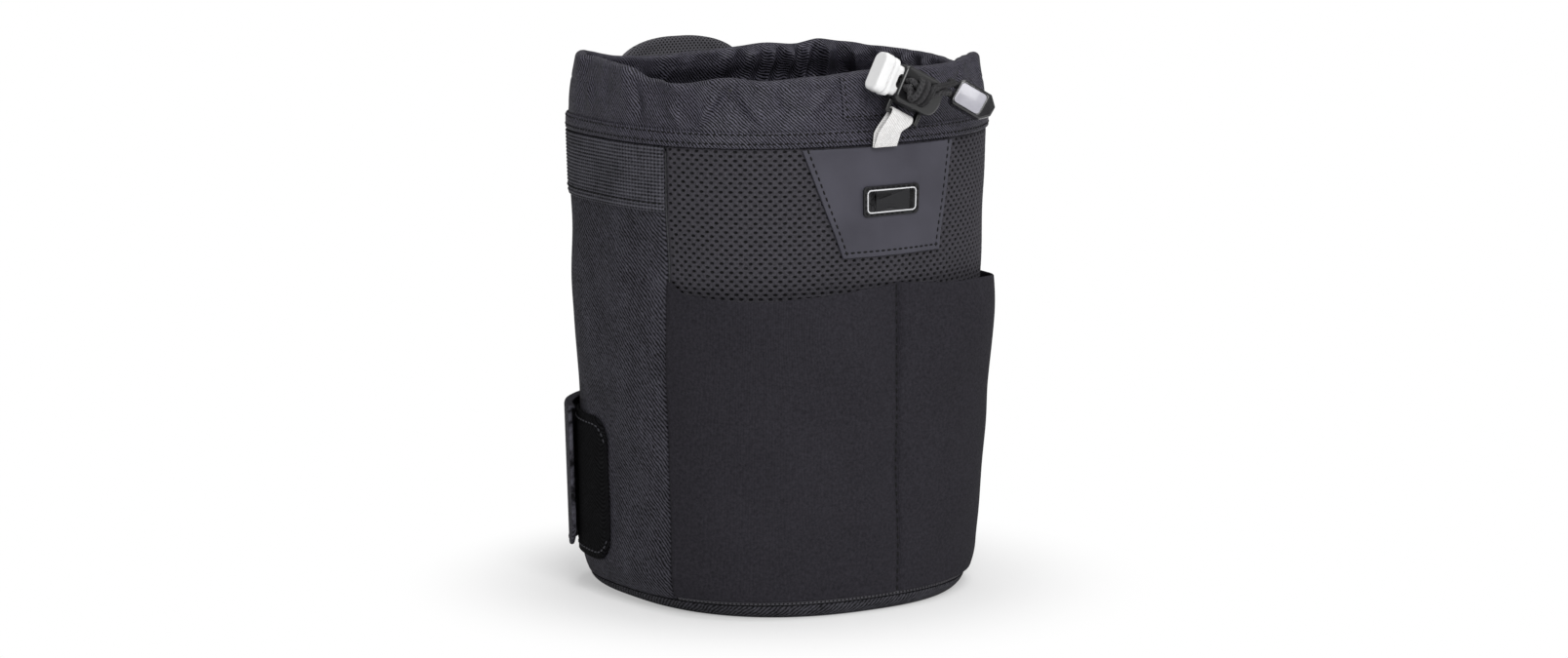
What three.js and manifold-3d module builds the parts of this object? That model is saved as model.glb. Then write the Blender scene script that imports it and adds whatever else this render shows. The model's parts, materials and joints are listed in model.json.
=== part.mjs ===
// A padded drawstring lens pouch that rides on a belt. Units are millimetres, +Z is up,
// -Y is the front and the pouch stands on Z = 0.
// An angle round the body is 0 at the front and grows toward +X.
import * as THREE from 'three';
import { mergeVertices } from 'three/addons/utils/BufferGeometryUtils.js';
import Module from 'manifold-3d';

const wasm = await Module();
wasm.setup();

// Overall form of the body, at the collar seam
const bodyWidth = 176;
const frontDepth = 82;
const backDepth = 66;
const seamHeight = 201.7;
const taperShare = 0.065;
const footTurnIn = 8;
const footTurnHeight = 18;
const footTurnRows = 4;
const frontPower = 2.35;
const backPower = 3.2;
const sideSeamAngle = 65;
const backSeamAngle = 138;
const stepAngle = 5;
const wholeTurn = 360;

// Layers of the wall, from the outside in, and the play between any two pieces
const play = 0.3;
const shellThickness = 1.2;
const foamThickness = 4.5;
const liningThickness = 0.8;
const foamOut = -(shellThickness + play);
const foamIn = foamOut - foamThickness;
const liningOut = foamIn - play;
const liningIn = liningOut - liningThickness;
const weldDistance = play / 1000;

// Base
const baseHeight = 6;
const baseFloor = 1.5;
const baseEdgeRadius = 5;
const baseFoamThickness = 5;

// Ribbed band round the top of the sides and back, and the binding of the mouth
const bandHeight = 28;
const bandThickness = 0.9;
const bindingHeight = 1.6;
const bandOut = play + bandThickness;

// Collar with its cord channel. Shares are of the collar's height, by angle round the rim.
const collarHeight = 28.3;
const collarCloth = 0.6;
const channelWidth = 3.6;
const channelHeight = 11;
const hemLip = 3;
const collarLean = 4;
const collarLeanPower = 1.5;
const collarRiseLimit = 1.2;
const collarFoldDepth = 3.2;
const gatherDepth = 0.5;
const gatherCount = 24;
const tapeHeight = 6.7;
const tapeThickness = 0.8;
const hemThickness = channelWidth + 2 * collarCloth;
const rimShares = [
  [-122, 1.16], [-100, 1.13], [-84, 1.11], [-74, 0.95], [-62, 0.92], [-48, 1.02], [-36, 0.98],
  [-20, 1.03], [-4, 1.09], [30, 1.08], [56, 1.13], [77, 0.9], [95, 0.95], [116, 0.98], [128, 1.04],
  [136, 1.08], [143, 1.01], [154, 1.045], [164, 1.02], [180, 0.985], [204, 0.945], [216, 0.99],
];
// Each pleat: angle, half width in degrees, depth as a share of the fold depth
const pleatShares = [
  [-122, 9, -0.6], [-104, 8, 0.55], [-86, 7, -0.3], [-70, 8, 0.6], [-56, 6, -0.15], [-44, 6, 0.45],
  [-24, 9, 0.2], [20, 12, 0.3], [42, 9, 0.5], [58, 7, -0.5], [76, 9, 0.7], [98, 8, 0.2],
  [113, 6, 0.8], [127, 5, 1], [138, 5, 0.1], [148, 5, 0.95], [158, 4, 0.1], [172, 8, 0.75],
  [196, 9, 0.5], [214, 7, 0.8],
];

// Trapezoid patch below the collar and the badge on it
const patchTopDrop = 0.7;
const patchHeight = 46.6;
const patchTopLeft = -38.3;
const patchTopRight = 36.6;
const patchFootLeft = -20.1;
const patchFootRight = 30.6;
const patchThickness = 1.2;
const patchColumns = 12;
const patchTop = seamHeight - patchTopDrop;
const patchFoot = patchTop - patchHeight;
const badgeWidth = 28.3;
const badgeHeight = 12.9;
const badgeThickness = 0.8;
const badgeCorner = 2;
const badgeColumns = 6;
const badgeCentreX = 2.7;
const badgeDrop = 23.8;
const badgeBorderInset = 1.9;
const badgeBorderWidth = 0.9;
const badgeBorderRise = 0.4;
const badgeBorderPoints = 48;
const badgeCentreZ = seamHeight - badgeDrop;

// Stretch pocket across the front, with two compartments
const pocketCloth = 1;
const pocketBulge = 8;
const pocketFoot = 8;
const pocketGap = 13.4;
const pocketHeight = patchFoot - pocketGap - pocketFoot;
const dividerTopAngle = 4.8;
const dividerFootAngle = 7.8;
const pocketRows = 8;
const pocketCrownPower = 0.8;
const pocketFlatShare = 0.42;
const pocketFootShare = 1 / 3;
const pocketLipShare = 0.88;
const pocketLipSpreadShare = 0.17;
const pocketTopShares = [
  [-65, 1.008], [-58, 0.978], [-41, 0.978], [-23, 0.992], [-6, 1.008], [5, 1.017], [29, 0.999],
  [65, 0.985],
];

// Belt carrier: a pad sewn round the back and a flap that hangs over it
const padEndAngle = 93;
const padFoot = 16;
const padTopDrop = 1.9;
const padThickness = 1.5;
const padCorner = 12;
const flapEndAngle = 111;
const flapFoot = 18;
const flapThickness = 1.8;
const flapCorner = 9;
const flapGapMiddle = 8.5;
const flapGapEnd = 2.2;
const flapHingeHeight = 81.3;
const flapRootRadius = 0.9;
const flapRootHalfAngle = 20;
const flapWingAngle = 34;
const flapWingRoot = 2.3;
const gripHalfWidth = 22;
const gripFoot = 24;
const gripHeight = 22;
const gripThickness = 0.5;
const gripColumns = 6;
const padOut = play + padThickness;
const padTop = flapHingeHeight - padTopDrop;

// Padded tab on the back, which stands above the collar
const tabWidth = 65;
const tabCentreX = -8.1;
const tabGap = 12.7;
const tabRise = 33.8;
const tabThickness = 5.5;
const tabTopCorner = 20;
const tabFootCorner = 8;
const tabColumns = 4;
const tabFoot = flapHingeHeight + tabGap;
const tabTop = seamHeight + tabRise;

// Round corners of flat pieces: how close to a point a corner may draw them in, and its steps
const cornerShare = 0.98;
const cornerStepShares = [0.08, 0.3, 0.62];

// Cord, its lock, its knot and the clip on its ends. The lock's own axes are: across, the way the
// button is pressed; up, away from the ribbon; and outward, away from the collar.
const cordRadius = 1.35;
const cordSides = 8;
const cordDrop = 5;
const cordPairOffset = 1.5;
const lockCentreX = 9.2;
const lockStandOff = 8;
const lockRise = 22.6;
const lockCentre = new THREE.Vector3(lockCentreX, -(frontDepth + lockStandOff), seamHeight + lockRise);
const lockTilt = 27;
const lockMouth = -10.8;
const lockEnd = 12;
const lockHeight = 16;
const lockDepth = 10.4;
const lockBevel = 1.4;
const lockWall = 1.2;
const lockEndRadius = 6;
const boreEnd = 6.5;
const buttonTravel = 2.6;
const buttonCapLength = 7.7;
const buttonCapHeight = 17;
const buttonCapDepth = 9.6;
const buttonCapCorner = 3.4;
const buttonBevel = 1;
const buttonShow = 3;
const plungerEnd = -1;
const cordHoleLength = 5.9;
const cordHoleCentre = -6.6;
const cordHoleHeight = 6.3;
const barRadius = 1;
const barDrop = 12.3;
const barLeft = -8.6;
const barRight = 5.6;
const lugWidth = 1.8;
const springWire = 0.35;
const springRadius = 2.9;
const springTurns = 5;
const springSteps = 50;
const springSides = 5;
const knotHalfHeight = 4.5;
const knotHalfDepth = 3.1;
const knotPitch = 3;
const knotOut = 10.3;
const knotUp = -1.2;
const knotStart = -7;
const knotSquareness = 0.8;
const knotTurns = 2.3;
const knotSteps = 24;
const windingSides = 6;
const leadTurnShare = 0.1;
const leadSteps = 9;
const finishSteps = 12;
const finishStart = 4;
const strandSteps = 4;
const tailSteps = 16;
const coreSteps = 30;

// End clip
const clipLength = 18.5;
const clipWidth = 12;
const clipDepth = 8;
const clipBevel = 1;
const clipAcross = 28.7;
const clipUp = 7.7;
const clipOut = 1.5;
const clipTurn = 26;
const clipRoll = 7;
const clipCentre = new THREE.Vector3(clipAcross, clipUp, clipOut);
const clipCorner = 2.6;
const clipNose = 4;
const clipHoleDepth = 6;
const clipHolePitch = 5;
const facePlateLength = 12.2;
const facePlateWidth = 9.2;
const facePlateThickness = 0.6;
const facePlateShift = -1.9;
const facePlateCorner = 1.6;

// Ribbon that anchors the lock
const ribbonWidth = 11.5;
const ribbonThickness = 0.7;
const ribbonFootX = -2.5;
const ribbonTurns = 6;

// Patch sewn on the collar where the cord comes out
const exitPatchLeftAngle = -13.6;
const exitPatchRightAngle = 5.8;
const exitPatchRise = 10.8;
const exitPatchHeight = 18;
const exitPatchThickness = 0.6;
const exitPatchFoot = seamHeight + exitPatchRise;
const overrun = 2;

const degrees = THREE.MathUtils.degToRad;
const halfPlayAngle = THREE.MathUtils.radToDeg(play / bodyWidth);

function material(color, roughness, metalness = 0) {
  return new THREE.MeshStandardMaterial({ color, roughness, metalness });
}

const cloth = material(0x37373c, 0.85);
const mesh = material(0x414246, 0.8);
const stretch = material(0x303034, 0.95);
const nylon = material(0x2b2b31, 0.6);
const webbing = material(0x3c3c40, 0.8);
const boot = material(0x2a2a2e, 0.75);
const foam = material(0x5a5a5e, 1);
const lining = material(0x4a4a4e, 0.9);
const rubber = material(0x4b4b52, 0.6);
const badgeRubber = material(0x1c1c1f, 0.45);
const ribbonCloth = material(0xd9d7d4, 0.8);
const cordCloth = material(0x18181b, 0.8);
const blackPlastic = material(0x1b1b1e, 0.35);
const whitePlastic = material(0xf2f1f0, 0.3);
const silverPlastic = material(0xc4c4ca, 0.25);
const steel = material(0x9a9a9e, 0.3, 1);
const gripCloth = material(0x202023, 1);

const pouch = new THREE.Group();

function add(name, geometry, surface, parent = pouch) {
  const piece = new THREE.Mesh(geometry, surface);
  piece.name = name;
  parent.add(piece);
  return piece;
}

// Section of the body: a superellipse, rounder in front than at the back, that tapers downward
function halfSizes(z, front) {
  const grown = 1 - taperShare * (1 - Math.min(z, seamHeight) / seamHeight);
  const turnIn = footTurnIn * Math.max(1 - z / footTurnHeight, 0) ** 2;
  return {
    a: (bodyWidth / 2) * grown - turnIn,
    b: (front ? frontDepth : backDepth) * grown,
    n: front ? frontPower : backPower,
  };
}

function offsetPoint(x, y, z, out, { a, b, n }) {
  const nx = (Math.sign(x) * Math.abs(x / a) ** (n - 1)) / a;
  const ny = (Math.sign(y) * Math.abs(y / b) ** (n - 1)) / b;
  const size = Math.hypot(nx, ny);
  return new THREE.Vector3(x + (out * nx) / size, y + (out * ny) / size, z);
}

function sectionPoint(angle, z, out = 0) {
  const s = Math.sin(degrees(angle));
  const c = Math.cos(degrees(angle));
  const sizes = halfSizes(z, c > 0);
  const { a, b, n } = sizes;
  const r = (Math.abs(s / a) ** n + Math.abs(c / b) ** n) ** (-1 / n);
  return offsetPoint(r * s, -r * c, z, out, sizes);
}

// A point of the front or the back, found by its x instead of its angle
function facePoint(x, z, out, front = true) {
  const sizes = halfSizes(z, front);
  const { a, b, n } = sizes;
  const y = b * (1 - Math.abs(x / a) ** n) ** (1 / n);
  return offsetPoint(x, front ? -y : y, z, out, sizes);
}

function smooth(share) {
  const t = THREE.MathUtils.clamp(share, 0, 1);
  return t * t * (3 - 2 * t);
}

// Smooth reading of a table of [angle, share] rows, all the way round when it is a ring
function readShares(table, angle, ring = false) {
  const rows = ring ? [...table, [table[0][0] + wholeTurn, table[0][1]]] : table;
  const first = rows[0][0];
  const last = rows[rows.length - 1][0];
  const at = ring ? first + THREE.MathUtils.euclideanModulo(angle - first, wholeTurn)
    : THREE.MathUtils.clamp(angle, first, last);
  const next = Math.max(1, rows.findIndex((row) => row[0] >= at));
  const [a0, s0] = rows[next - 1];
  const [a1, s1] = rows[next];
  return s0 + (s1 - s0) * smooth((at - a0) / (a1 - a0));
}

function anglesBetween(from, to, extra = []) {
  const list = [from, to, ...extra];
  for (let a = Math.ceil(from / stepAngle) * stepAngle; a < to; a += stepAngle) {
    if (list.every((other) => Math.abs(other - a) > stepAngle / 8)) list.push(a);
  }
  return list.sort((p, q) => p - q);
}

const ringAngles = Array.from({ length: wholeTurn / stepAngle }, (_, i) => i * stepAngle);
const evenShares = (count) => Array.from({ length: count + 1 }, (_, i) => i / count);
const quarterSteps = evenShares(3).map((share) => (share * Math.PI) / 2);

// Triangles of one flat or nearly flat outline in space, facing as its order turns
function capTriangles(points) {
  const normal = points.reduce((sum, p, i) => sum.add(
    new THREE.Vector3().crossVectors(p, points[(i + 1) % points.length])), new THREE.Vector3()).normalize();
  const right = new THREE.Vector3().subVectors(points[1], points[0]).normalize();
  const up = new THREE.Vector3().crossVectors(normal, right);
  const flat = points.map((p) => new THREE.Vector2(p.dot(right), p.dot(up)));
  return THREE.ShapeUtils.triangulateShape(flat, []);
}

// A solid skinned over stations, each a list of points in the same order
function loft(stations, closed = false) {
  const across = stations[0].length;
  const count = stations.length;
  const at = (i, j) => (i % count) * across + (j % across);
  const faces = [];
  for (let i = 0; i < (closed ? count : count - 1); i += 1) {
    for (let j = 0; j < across; j += 1) {
      faces.push(at(i, j), at(i + 1, j), at(i + 1, j + 1));
      faces.push(at(i, j), at(i + 1, j + 1), at(i, j + 1));
    }
  }
  if (!closed) {
    capTriangles(stations[0]).forEach(([p, q, r]) => faces.push(at(0, p), at(0, q), at(0, r)));
    capTriangles(stations[count - 1]).forEach(([p, q, r]) => {
      faces.push(at(count - 1, p), at(count - 1, r), at(count - 1, q));
    });
  }
  const geometry = new THREE.BufferGeometry();
  geometry.setAttribute('position', new THREE.Float32BufferAttribute(
    stations.flat().flatMap((p) => [p.x, p.y, p.z]), 3));
  geometry.setIndex(faces);
  geometry.computeVertexNormals();
  return geometry;
}

// A layer that follows the body: profileAt gives [out, z] points up the outer face, down the inner
function wrap(angles, profileAt, closed = false) {
  const station = (angle) => profileAt(angle).map(([out, z]) => sectionPoint(angle, z, out));
  return loft(angles.map(station), closed);
}

// Rows of a layer, closer together where the wall turns in toward the foot
function layerProfile(low, high, outer, inner) {
  const turning = evenShares(footTurnRows).map((share) => share * footTurnHeight);
  const rows = [low, ...turning.filter((z) => z > low + liningThickness && z < high), high];
  return [...rows.map((z) => [outer, z]), ...rows.map((z) => [inner, z]).reverse()];
}

function layer(from, to, low, high, outer, inner) {
  return wrap(anglesBetween(from, to), () => layerProfile(low, high, outer, inner));
}

function ringLayer(low, high, outer, inner) {
  return wrap(ringAngles, () => layerProfile(low, high, outer, inner), true);
}

// A floor piece: rings of [out, z] from the middle of its top, over its edge, to the middle below
function floorPiece(rings) {
  return loft(rings.map(([out, z]) => ringAngles.map((angle) => sectionPoint(angle, z, out))));
}

// Boolean work
function toSolid(geometry) {
  const bare = geometry.clone();
  bare.deleteAttribute('normal');
  bare.deleteAttribute('uv');
  const merged = mergeVertices(bare, weldDistance);
  return new wasm.Manifold(new wasm.Mesh({
    numProp: 3,
    vertProperties: new Float32Array(merged.attributes.position.array),
    triVerts: new Uint32Array(merged.index.array),
  }));
}

function toGeometry(solid) {
  const { numProp, vertProperties, triVerts } = solid.getMesh();
  const geometry = new THREE.BufferGeometry();
  const places = [];
  for (let i = 0; i < vertProperties.length; i += numProp) {
    places.push(vertProperties[i], vertProperties[i + 1], vertProperties[i + 2]);
  }
  geometry.setAttribute('position', new THREE.Float32BufferAttribute(places, 3));
  geometry.setIndex([...triVerts]);
  geometry.computeVertexNormals();
  return geometry;
}

function cut(base, ...tools) {
  return toGeometry(tools.reduce((solid, tool) => solid.subtract(toSolid(tool)), toSolid(base)));
}

function join(...parts) {
  return toGeometry(parts.map(toSolid).reduce((solid, part) => solid.add(part)));
}

// A rectangle with round corners, centred on the origin
function roundedRectangle(width, height, radius) {
  const shape = new THREE.Shape();
  const x = width / 2 - radius;
  const y = height / 2 - radius;
  const quarter = Math.PI / 2;
  shape.absarc(x, y, radius, 0, quarter);
  shape.absarc(-x, y, radius, quarter, 2 * quarter);
  shape.absarc(-x, -y, radius, 2 * quarter, 3 * quarter);
  shape.absarc(x, -y, radius, 3 * quarter, 4 * quarter);
  return shape;
}

// An outline made thick along z about the origin, with its edges rounded by bevel
const plainCurve = 3;
const fineCurve = 4;
const bevelSteps = 2;
function thick(shape, depth, bevel = 0, curveSegments = plainCurve) {
  const geometry = new THREE.ExtrudeGeometry(shape, {
    depth: depth - 2 * bevel,
    bevelEnabled: bevel > 0,
    bevelSize: bevel,
    bevelOffset: -bevel,
    bevelThickness: bevel,
    bevelSegments: bevelSteps,
    curveSegments,
  });
  return geometry.translate(0, 0, bevel - depth / 2);
}

function circle(radius) {
  return new THREE.Shape().absarc(0, 0, radius, 0, 2 * Math.PI);
}

// Cords are swept along smooth curves through their route's points
function cordAlong(points, steps) {
  const geometry = new THREE.ExtrudeGeometry(circle(cordRadius), {
    steps,
    curveSegments: cordSides,
    extrudePath: new THREE.CatmullRomCurve3(points, false, 'centripetal'),
  });
  geometry.deleteAttribute('normal');
  geometry.deleteAttribute('uv');
  return mergeVertices(geometry, weldDistance);
}

// A tube of round sections set square to the route at each of its points
function tubeThrough(points, radius, sides) {
  const tangents = points.map((p, i) => new THREE.Vector3()
    .subVectors(points[Math.min(i + 1, points.length - 1)], points[Math.max(i - 1, 0)]).normalize());
  let side = new THREE.Vector3(0, 0, 1).cross(tangents[0]).normalize();
  const stations = points.map((p, i) => {
    const tangent = tangents[i];
    side = side.clone().addScaledVector(tangent, -side.dot(tangent)).normalize();
    const up = new THREE.Vector3().crossVectors(tangent, side);
    return Array.from({ length: sides }, (_, j) => {
      const turn = (-2 * Math.PI * j) / sides;
      return p.clone().addScaledVector(side, radius * Math.cos(turn))
        .addScaledVector(up, radius * Math.sin(turn));
    });
  });
  return loft(stations);
}

// Shell, padding and lining
const panelLow = baseHeight + play;
const panelHigh = seamHeight - play;
const seam = sideSeamAngle;
const backSeam = backSeamAngle;

function panel(from, to) {
  return layer(from + halfPlayAngle, to - halfPlayAngle, panelLow, panelHigh, 0, -shellThickness);
}
add('front_panel', panel(-seam, seam), mesh);
add('right_side_panel', panel(seam, backSeam), cloth);
add('left_side_panel', panel(-backSeam, -seam), cloth);
add('back_panel', panel(backSeam, wholeTurn - backSeam), cloth);
add('upper_band', layer(seam, wholeTurn - seam, seamHeight - bandHeight, panelHigh, bandOut, play), webbing);

function basePanel() {
  const outerEdge = quarterSteps.map((t) => [
    -baseEdgeRadius * (1 - Math.cos(t)), baseEdgeRadius * (1 - Math.sin(t)),
  ]);
  return floorPiece([
    [-baseEdgeRadius, baseFloor],
    [-shellThickness, baseEdgeRadius],
    [-shellThickness, baseHeight],
    [0, baseHeight],
    ...outerEdge,
  ]);
}
add('base_panel', basePanel(), boot);

const baseFoamLow = baseFloor + play;
const baseFoamHigh = baseFoamLow + baseFoamThickness;
const wallFoamLow = baseFoamHigh + play;
const baseLiningHigh = wallFoamLow + liningThickness;
const bindingLow = panelHigh - bindingHeight;
const baseFoamOut = -baseEdgeRadius - play;
add('base_foam', floorPiece([[baseFoamOut, baseFoamHigh], [baseFoamOut, baseFoamLow]]), foam);
add('base_lining', floorPiece([[liningOut, baseLiningHigh], [liningOut, wallFoamLow]]), lining);
add('wall_foam', ringLayer(wallFoamLow, bindingLow - play, foamOut, foamIn), foam);
add('wall_lining', ringLayer(baseLiningHigh + play, bindingLow - play, liningOut, liningIn), lining);
add('mouth_binding', ringLayer(bindingLow, panelHigh, foamOut, liningIn), lining);

// Collar: its rim rises and dips round the mouth, and its gathers deepen toward the rim
const rimAt = (angle) => seamHeight + collarHeight * readShares(rimShares, angle, true);

function pleat(angle) {
  return pleatShares.reduce((sum, [at, halfWidth, share]) => {
    const away = THREE.MathUtils.euclideanModulo(angle - at + wholeTurn / 2, wholeTurn) - wholeTurn / 2;
    return sum + share * Math.exp(-((away / halfWidth) ** 2));
  }, 0);
}

function collarOut(angle, z) {
  const rise = THREE.MathUtils.clamp((z - seamHeight) / collarHeight, 0, collarRiseLimit);
  const gather = gatherDepth * Math.cos(degrees(gatherCount * angle));
  return -collarLean * rise ** collarLeanPower - rise * (collarFoldDepth * pleat(angle) + gather);
}

function collarProfile(angle) {
  const rim = rimAt(angle);
  const low = seamHeight;
  const shoulder = rim - hemThickness / 2;
  const hemLow = rim - channelHeight - collarCloth;
  const point = (inward, z) => [collarOut(angle, z) - inward, z];
  return [
    point(0, low),
    point(0, (low + hemLow) / 2),
    point(0, hemLow),
    point(0, shoulder),
    point(hemThickness / 2, rim),
    point(hemThickness, shoulder),
    point(hemThickness, hemLow + hemLip),
    point(2 * collarCloth + play, hemLow),
    point(collarCloth + play, hemLow),
    point(hemThickness - collarCloth, hemLow + hemLip),
    point(hemThickness - collarCloth, shoulder),
    point(hemThickness / 2, rim - collarCloth),
    point(collarCloth, shoulder),
    point(collarCloth, hemLow),
    point(collarCloth, (low + hemLow) / 2),
    point(collarCloth, low),
  ];
}

// The lock stands in a turned group; fromLock gives the place of a point of it
const lockGroup = new THREE.Group();
lockGroup.position.copy(lockCentre);
lockGroup.rotation.set(Math.PI / 2, degrees(lockTilt), 0, 'YXZ');
lockGroup.updateMatrixWorld();
pouch.add(lockGroup);
const fromLock = (across, up, out) => lockGroup.localToWorld(new THREE.Vector3(across, up, out));

// Both cord ends leave the collar one above the other, straight into the lock's hole
const pinch = cordHoleCentre - buttonTravel / 2;
const exitMiddle = fromLock(pinch, 0, 0);
const exitAngle = THREE.MathUtils.radToDeg(Math.atan2(exitMiddle.x, frontDepth));
const collarFaceY = sectionPoint(exitAngle, exitMiddle.z, collarOut(exitAngle, exitMiddle.z)).y;
const exitFaceY = collarFaceY - play - exitPatchThickness;
const cordLeavesY = exitFaceY - play;

function exitSlot() {
  const hole = roundedRectangle(2 * (cordRadius + play), cordHoleHeight, cordRadius);
  const reach = collarCloth + channelWidth / 2;
  const slot = thick(hole, exitPatchThickness + 2 * overrun + reach);
  slot.rotateX(Math.PI / 2).rotateY(degrees(lockTilt));
  return slot.translate(exitMiddle.x, collarFaceY + (reach - exitPatchThickness) / 2, exitMiddle.z);
}

const collar = wrap(ringAngles, collarProfile, true);
add('collar', cut(collar, exitSlot()), nylon);

function tapeProfile(angle) {
  const low = seamHeight + play;
  const high = low + tapeHeight;
  const point = (out, z) => [collarOut(angle, z) + out, z];
  const outer = play + tapeThickness;
  return [point(outer, low), point(outer, high), point(play, high), point(play, low)];
}
add('collar_tape', wrap(ringAngles, tapeProfile, true), nylon);

function exitPatchProfile(angle) {
  const high = exitPatchFoot + exitPatchHeight;
  const rows = [exitPatchFoot, (exitPatchFoot + high) / 2, high];
  const face = (out) => rows.map((z) => [collarOut(angle, z) + out, z]);
  return [...face(play + exitPatchThickness), ...face(play).reverse()];
}
const exitPatch = wrap(anglesBetween(exitPatchLeftAngle, exitPatchRightAngle), exitPatchProfile);
add('cord_exit_patch', cut(exitPatch, exitSlot()), nylon);

// The draw cord: once round inside the channel, with both ends turned out through the slot
function channelPoint(angle, z) {
  return sectionPoint(angle, z, collarOut(angle, z) - hemThickness / 2);
}

function drawCordRoute() {
  const upper = fromLock(pinch, cordPairOffset, 0);
  const lower = fromLock(pinch, -cordPairOffset, 0);
  const channelY = channelPoint(exitAngle, exitMiddle.z).y;
  const bend = 2 * cordRadius;
  const turnOut = (end, toward) => [
    new THREE.Vector3(end.x, cordLeavesY, end.z),
    ...quarterSteps.map((t) => new THREE.Vector3(
      end.x + toward * bend * (1 - Math.cos(t)), channelY - bend * (1 - Math.sin(t)), end.z)),
  ];
  const settle = 4 * stepAngle;
  const start = exitAngle - 2 * stepAngle;
  const angles = anglesBetween(start - wholeTurn + 4 * stepAngle, start).reverse();
  const around = angles.map((angle) => {
    const free = rimAt(angle) - cordDrop;
    const fromStart = smooth(Math.abs(angle - start) / settle);
    const fromEnd = smooth(Math.abs(angle - angles[angles.length - 1]) / settle);
    const z = lower.z + (free - lower.z) * fromStart;
    return channelPoint(angle, upper.z + (z - upper.z) * fromEnd);
  });
  return [...turnOut(lower, -1), ...around, ...turnOut(upper, 1).reverse()];
}
add('draw_cord', tubeThrough(drawCordRoute(), cordRadius, cordSides), cordCloth);

// Stretch pocket: it lies close to the panel at its seams and stands off inside each compartment
function pocketStandOff(angle, share) {
  const divider = dividerFootAngle + (dividerTopAngle - dividerFootAngle) * share;
  const from = angle < divider ? -seam : divider;
  const to = angle < divider ? divider : seam;
  const way = THREE.MathUtils.clamp((angle - from) / (to - from), 0, 1);
  const across = Math.sin(Math.PI * way) ** pocketCrownPower;
  const body = pocketFlatShare * smooth(share / pocketFootShare);
  const lip = (1 - pocketFlatShare) * Math.exp(-(((share - pocketLipShare) / pocketLipSpreadShare) ** 2));
  return pocketBulge * across * (body + lip);
}

function pocketProfile(angle) {
  const top = pocketFoot + pocketHeight * readShares(pocketTopShares, angle);
  const turning = evenShares(footTurnRows).map((share) => (share * footTurnHeight) / pocketHeight);
  const spread = evenShares(pocketRows).map((share) => Math.sin((share * Math.PI) / 2));
  const shares = [0, ...turning.slice(1), ...spread.filter((share) => share > turning[footTurnRows] * 2)];
  const face = (out) => shares.map((share) => [
    out + pocketStandOff(angle, share), pocketFoot + (top - pocketFoot) * share,
  ]);
  return [...face(play + pocketCloth), ...face(play).reverse()];
}
const dividerMiddle = (dividerTopAngle + dividerFootAngle) / 2;
add('stretch_pocket', wrap(anglesBetween(-seam, seam, [dividerMiddle]), pocketProfile), stretch);

// Trapezoid patch and its badge
const halfway = () => [0, 1 / 2, 1];
function plateOnFace(columns, cornersAt, outer, inner, front = true, rowsAt = halfway) {
  const stations = columns.map((share) => {
    const { low, high } = cornersAt(share);
    const face = (out) => rowsAt(low.y, high.y).map((t) => facePoint(
      low.x + (high.x - low.x) * t, low.y + (high.y - low.y) * t, out, front));
    return [...face(outer), ...face(inner).reverse()];
  });
  return loft(stations);
}
const patchOut = play + patchThickness;
add('front_patch', plateOnFace(evenShares(patchColumns), (share) => ({
  low: new THREE.Vector2(patchFootLeft + (patchFootRight - patchFootLeft) * share, patchFoot),
  high: new THREE.Vector2(patchTopLeft + (patchTopRight - patchTopLeft) * share, patchTop),
}), patchOut, play), rubber);

// Low and high edge of a plate with round corners at a share of its width
function roundedEdges(share, { centreX, width, low, high, lowCorner, highCorner }) {
  const away = Math.min(share, 1 - share) * width;
  const lift = (radius) => radius - Math.sqrt(radius ** 2 - Math.max(radius - away, 0) ** 2);
  const x = centreX + (share - 1 / 2) * width;
  return {
    low: new THREE.Vector2(x, low + lift(lowCorner) * cornerShare),
    high: new THREE.Vector2(x, high - lift(highCorner) * cornerShare),
  };
}

// Shares of a width that are closer together in its round corners
function cornerShares(width, corner, middle) {
  const edge = [0, ...cornerStepShares].map((share) => (share * corner) / width);
  const inner = evenShares(middle).map((share) => corner / width + share * (1 - (2 * corner) / width));
  return [...edge, ...inner, ...edge.map((share) => 1 - share).reverse()];
}

function badgeBorder() {
  const path = roundedRectangle(badgeWidth - 2 * badgeBorderInset, badgeHeight - 2 * badgeBorderInset,
    badgeCorner).getSpacedPoints(badgeBorderPoints);
  const centre = new THREE.Vector2(badgeCentreX, badgeCentreZ);
  const base = patchOut + play + badgeThickness;
  const half = new THREE.Vector2(badgeWidth, badgeHeight).multiplyScalar(1 / 2);
  const inward = (p) => p.clone().multiply(new THREE.Vector2(
    1 - badgeBorderWidth / half.x, 1 - badgeBorderWidth / half.y));
  const place = (p, out) => facePoint(centre.x + p.x, centre.y + p.y, out);
  const stations = path.slice(0, -1).map((p) => [
    place(p, base + badgeBorderRise), place(inward(p), base + badgeBorderRise),
    place(inward(p), base - badgeThickness / 2), place(p, base - badgeThickness / 2),
  ]);
  return loft(stations, true);
}
const badgeShares = cornerShares(badgeWidth, badgeCorner, badgeColumns);
const badgePlate = plateOnFace(badgeShares, (share) => roundedEdges(share, {
  centreX: badgeCentreX,
  width: badgeWidth,
  low: badgeCentreZ - badgeHeight / 2,
  high: badgeCentreZ + badgeHeight / 2,
  lowCorner: badgeCorner,
  highCorner: badgeCorner,
}), patchOut + play + badgeThickness, patchOut + play);
add('patch_badge', join(badgePlate, badgeBorder()), badgeRubber);

// Padded tab on the back
const tabShares = cornerShares(tabWidth, tabTopCorner, tabColumns).map((share) => 1 - share);
const tabRows = (low, high) => [0, (seamHeight - low) / (high - low), 1];
add('back_tab', plateOnFace(tabShares, (share) => roundedEdges(share, {
  centreX: tabCentreX,
  width: tabWidth,
  low: tabFoot,
  high: tabTop,
  lowCorner: tabFootCorner,
  highCorner: tabTopCorner,
}), bandOut + play + tabThickness, bandOut + play, false, tabRows), mesh);

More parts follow.
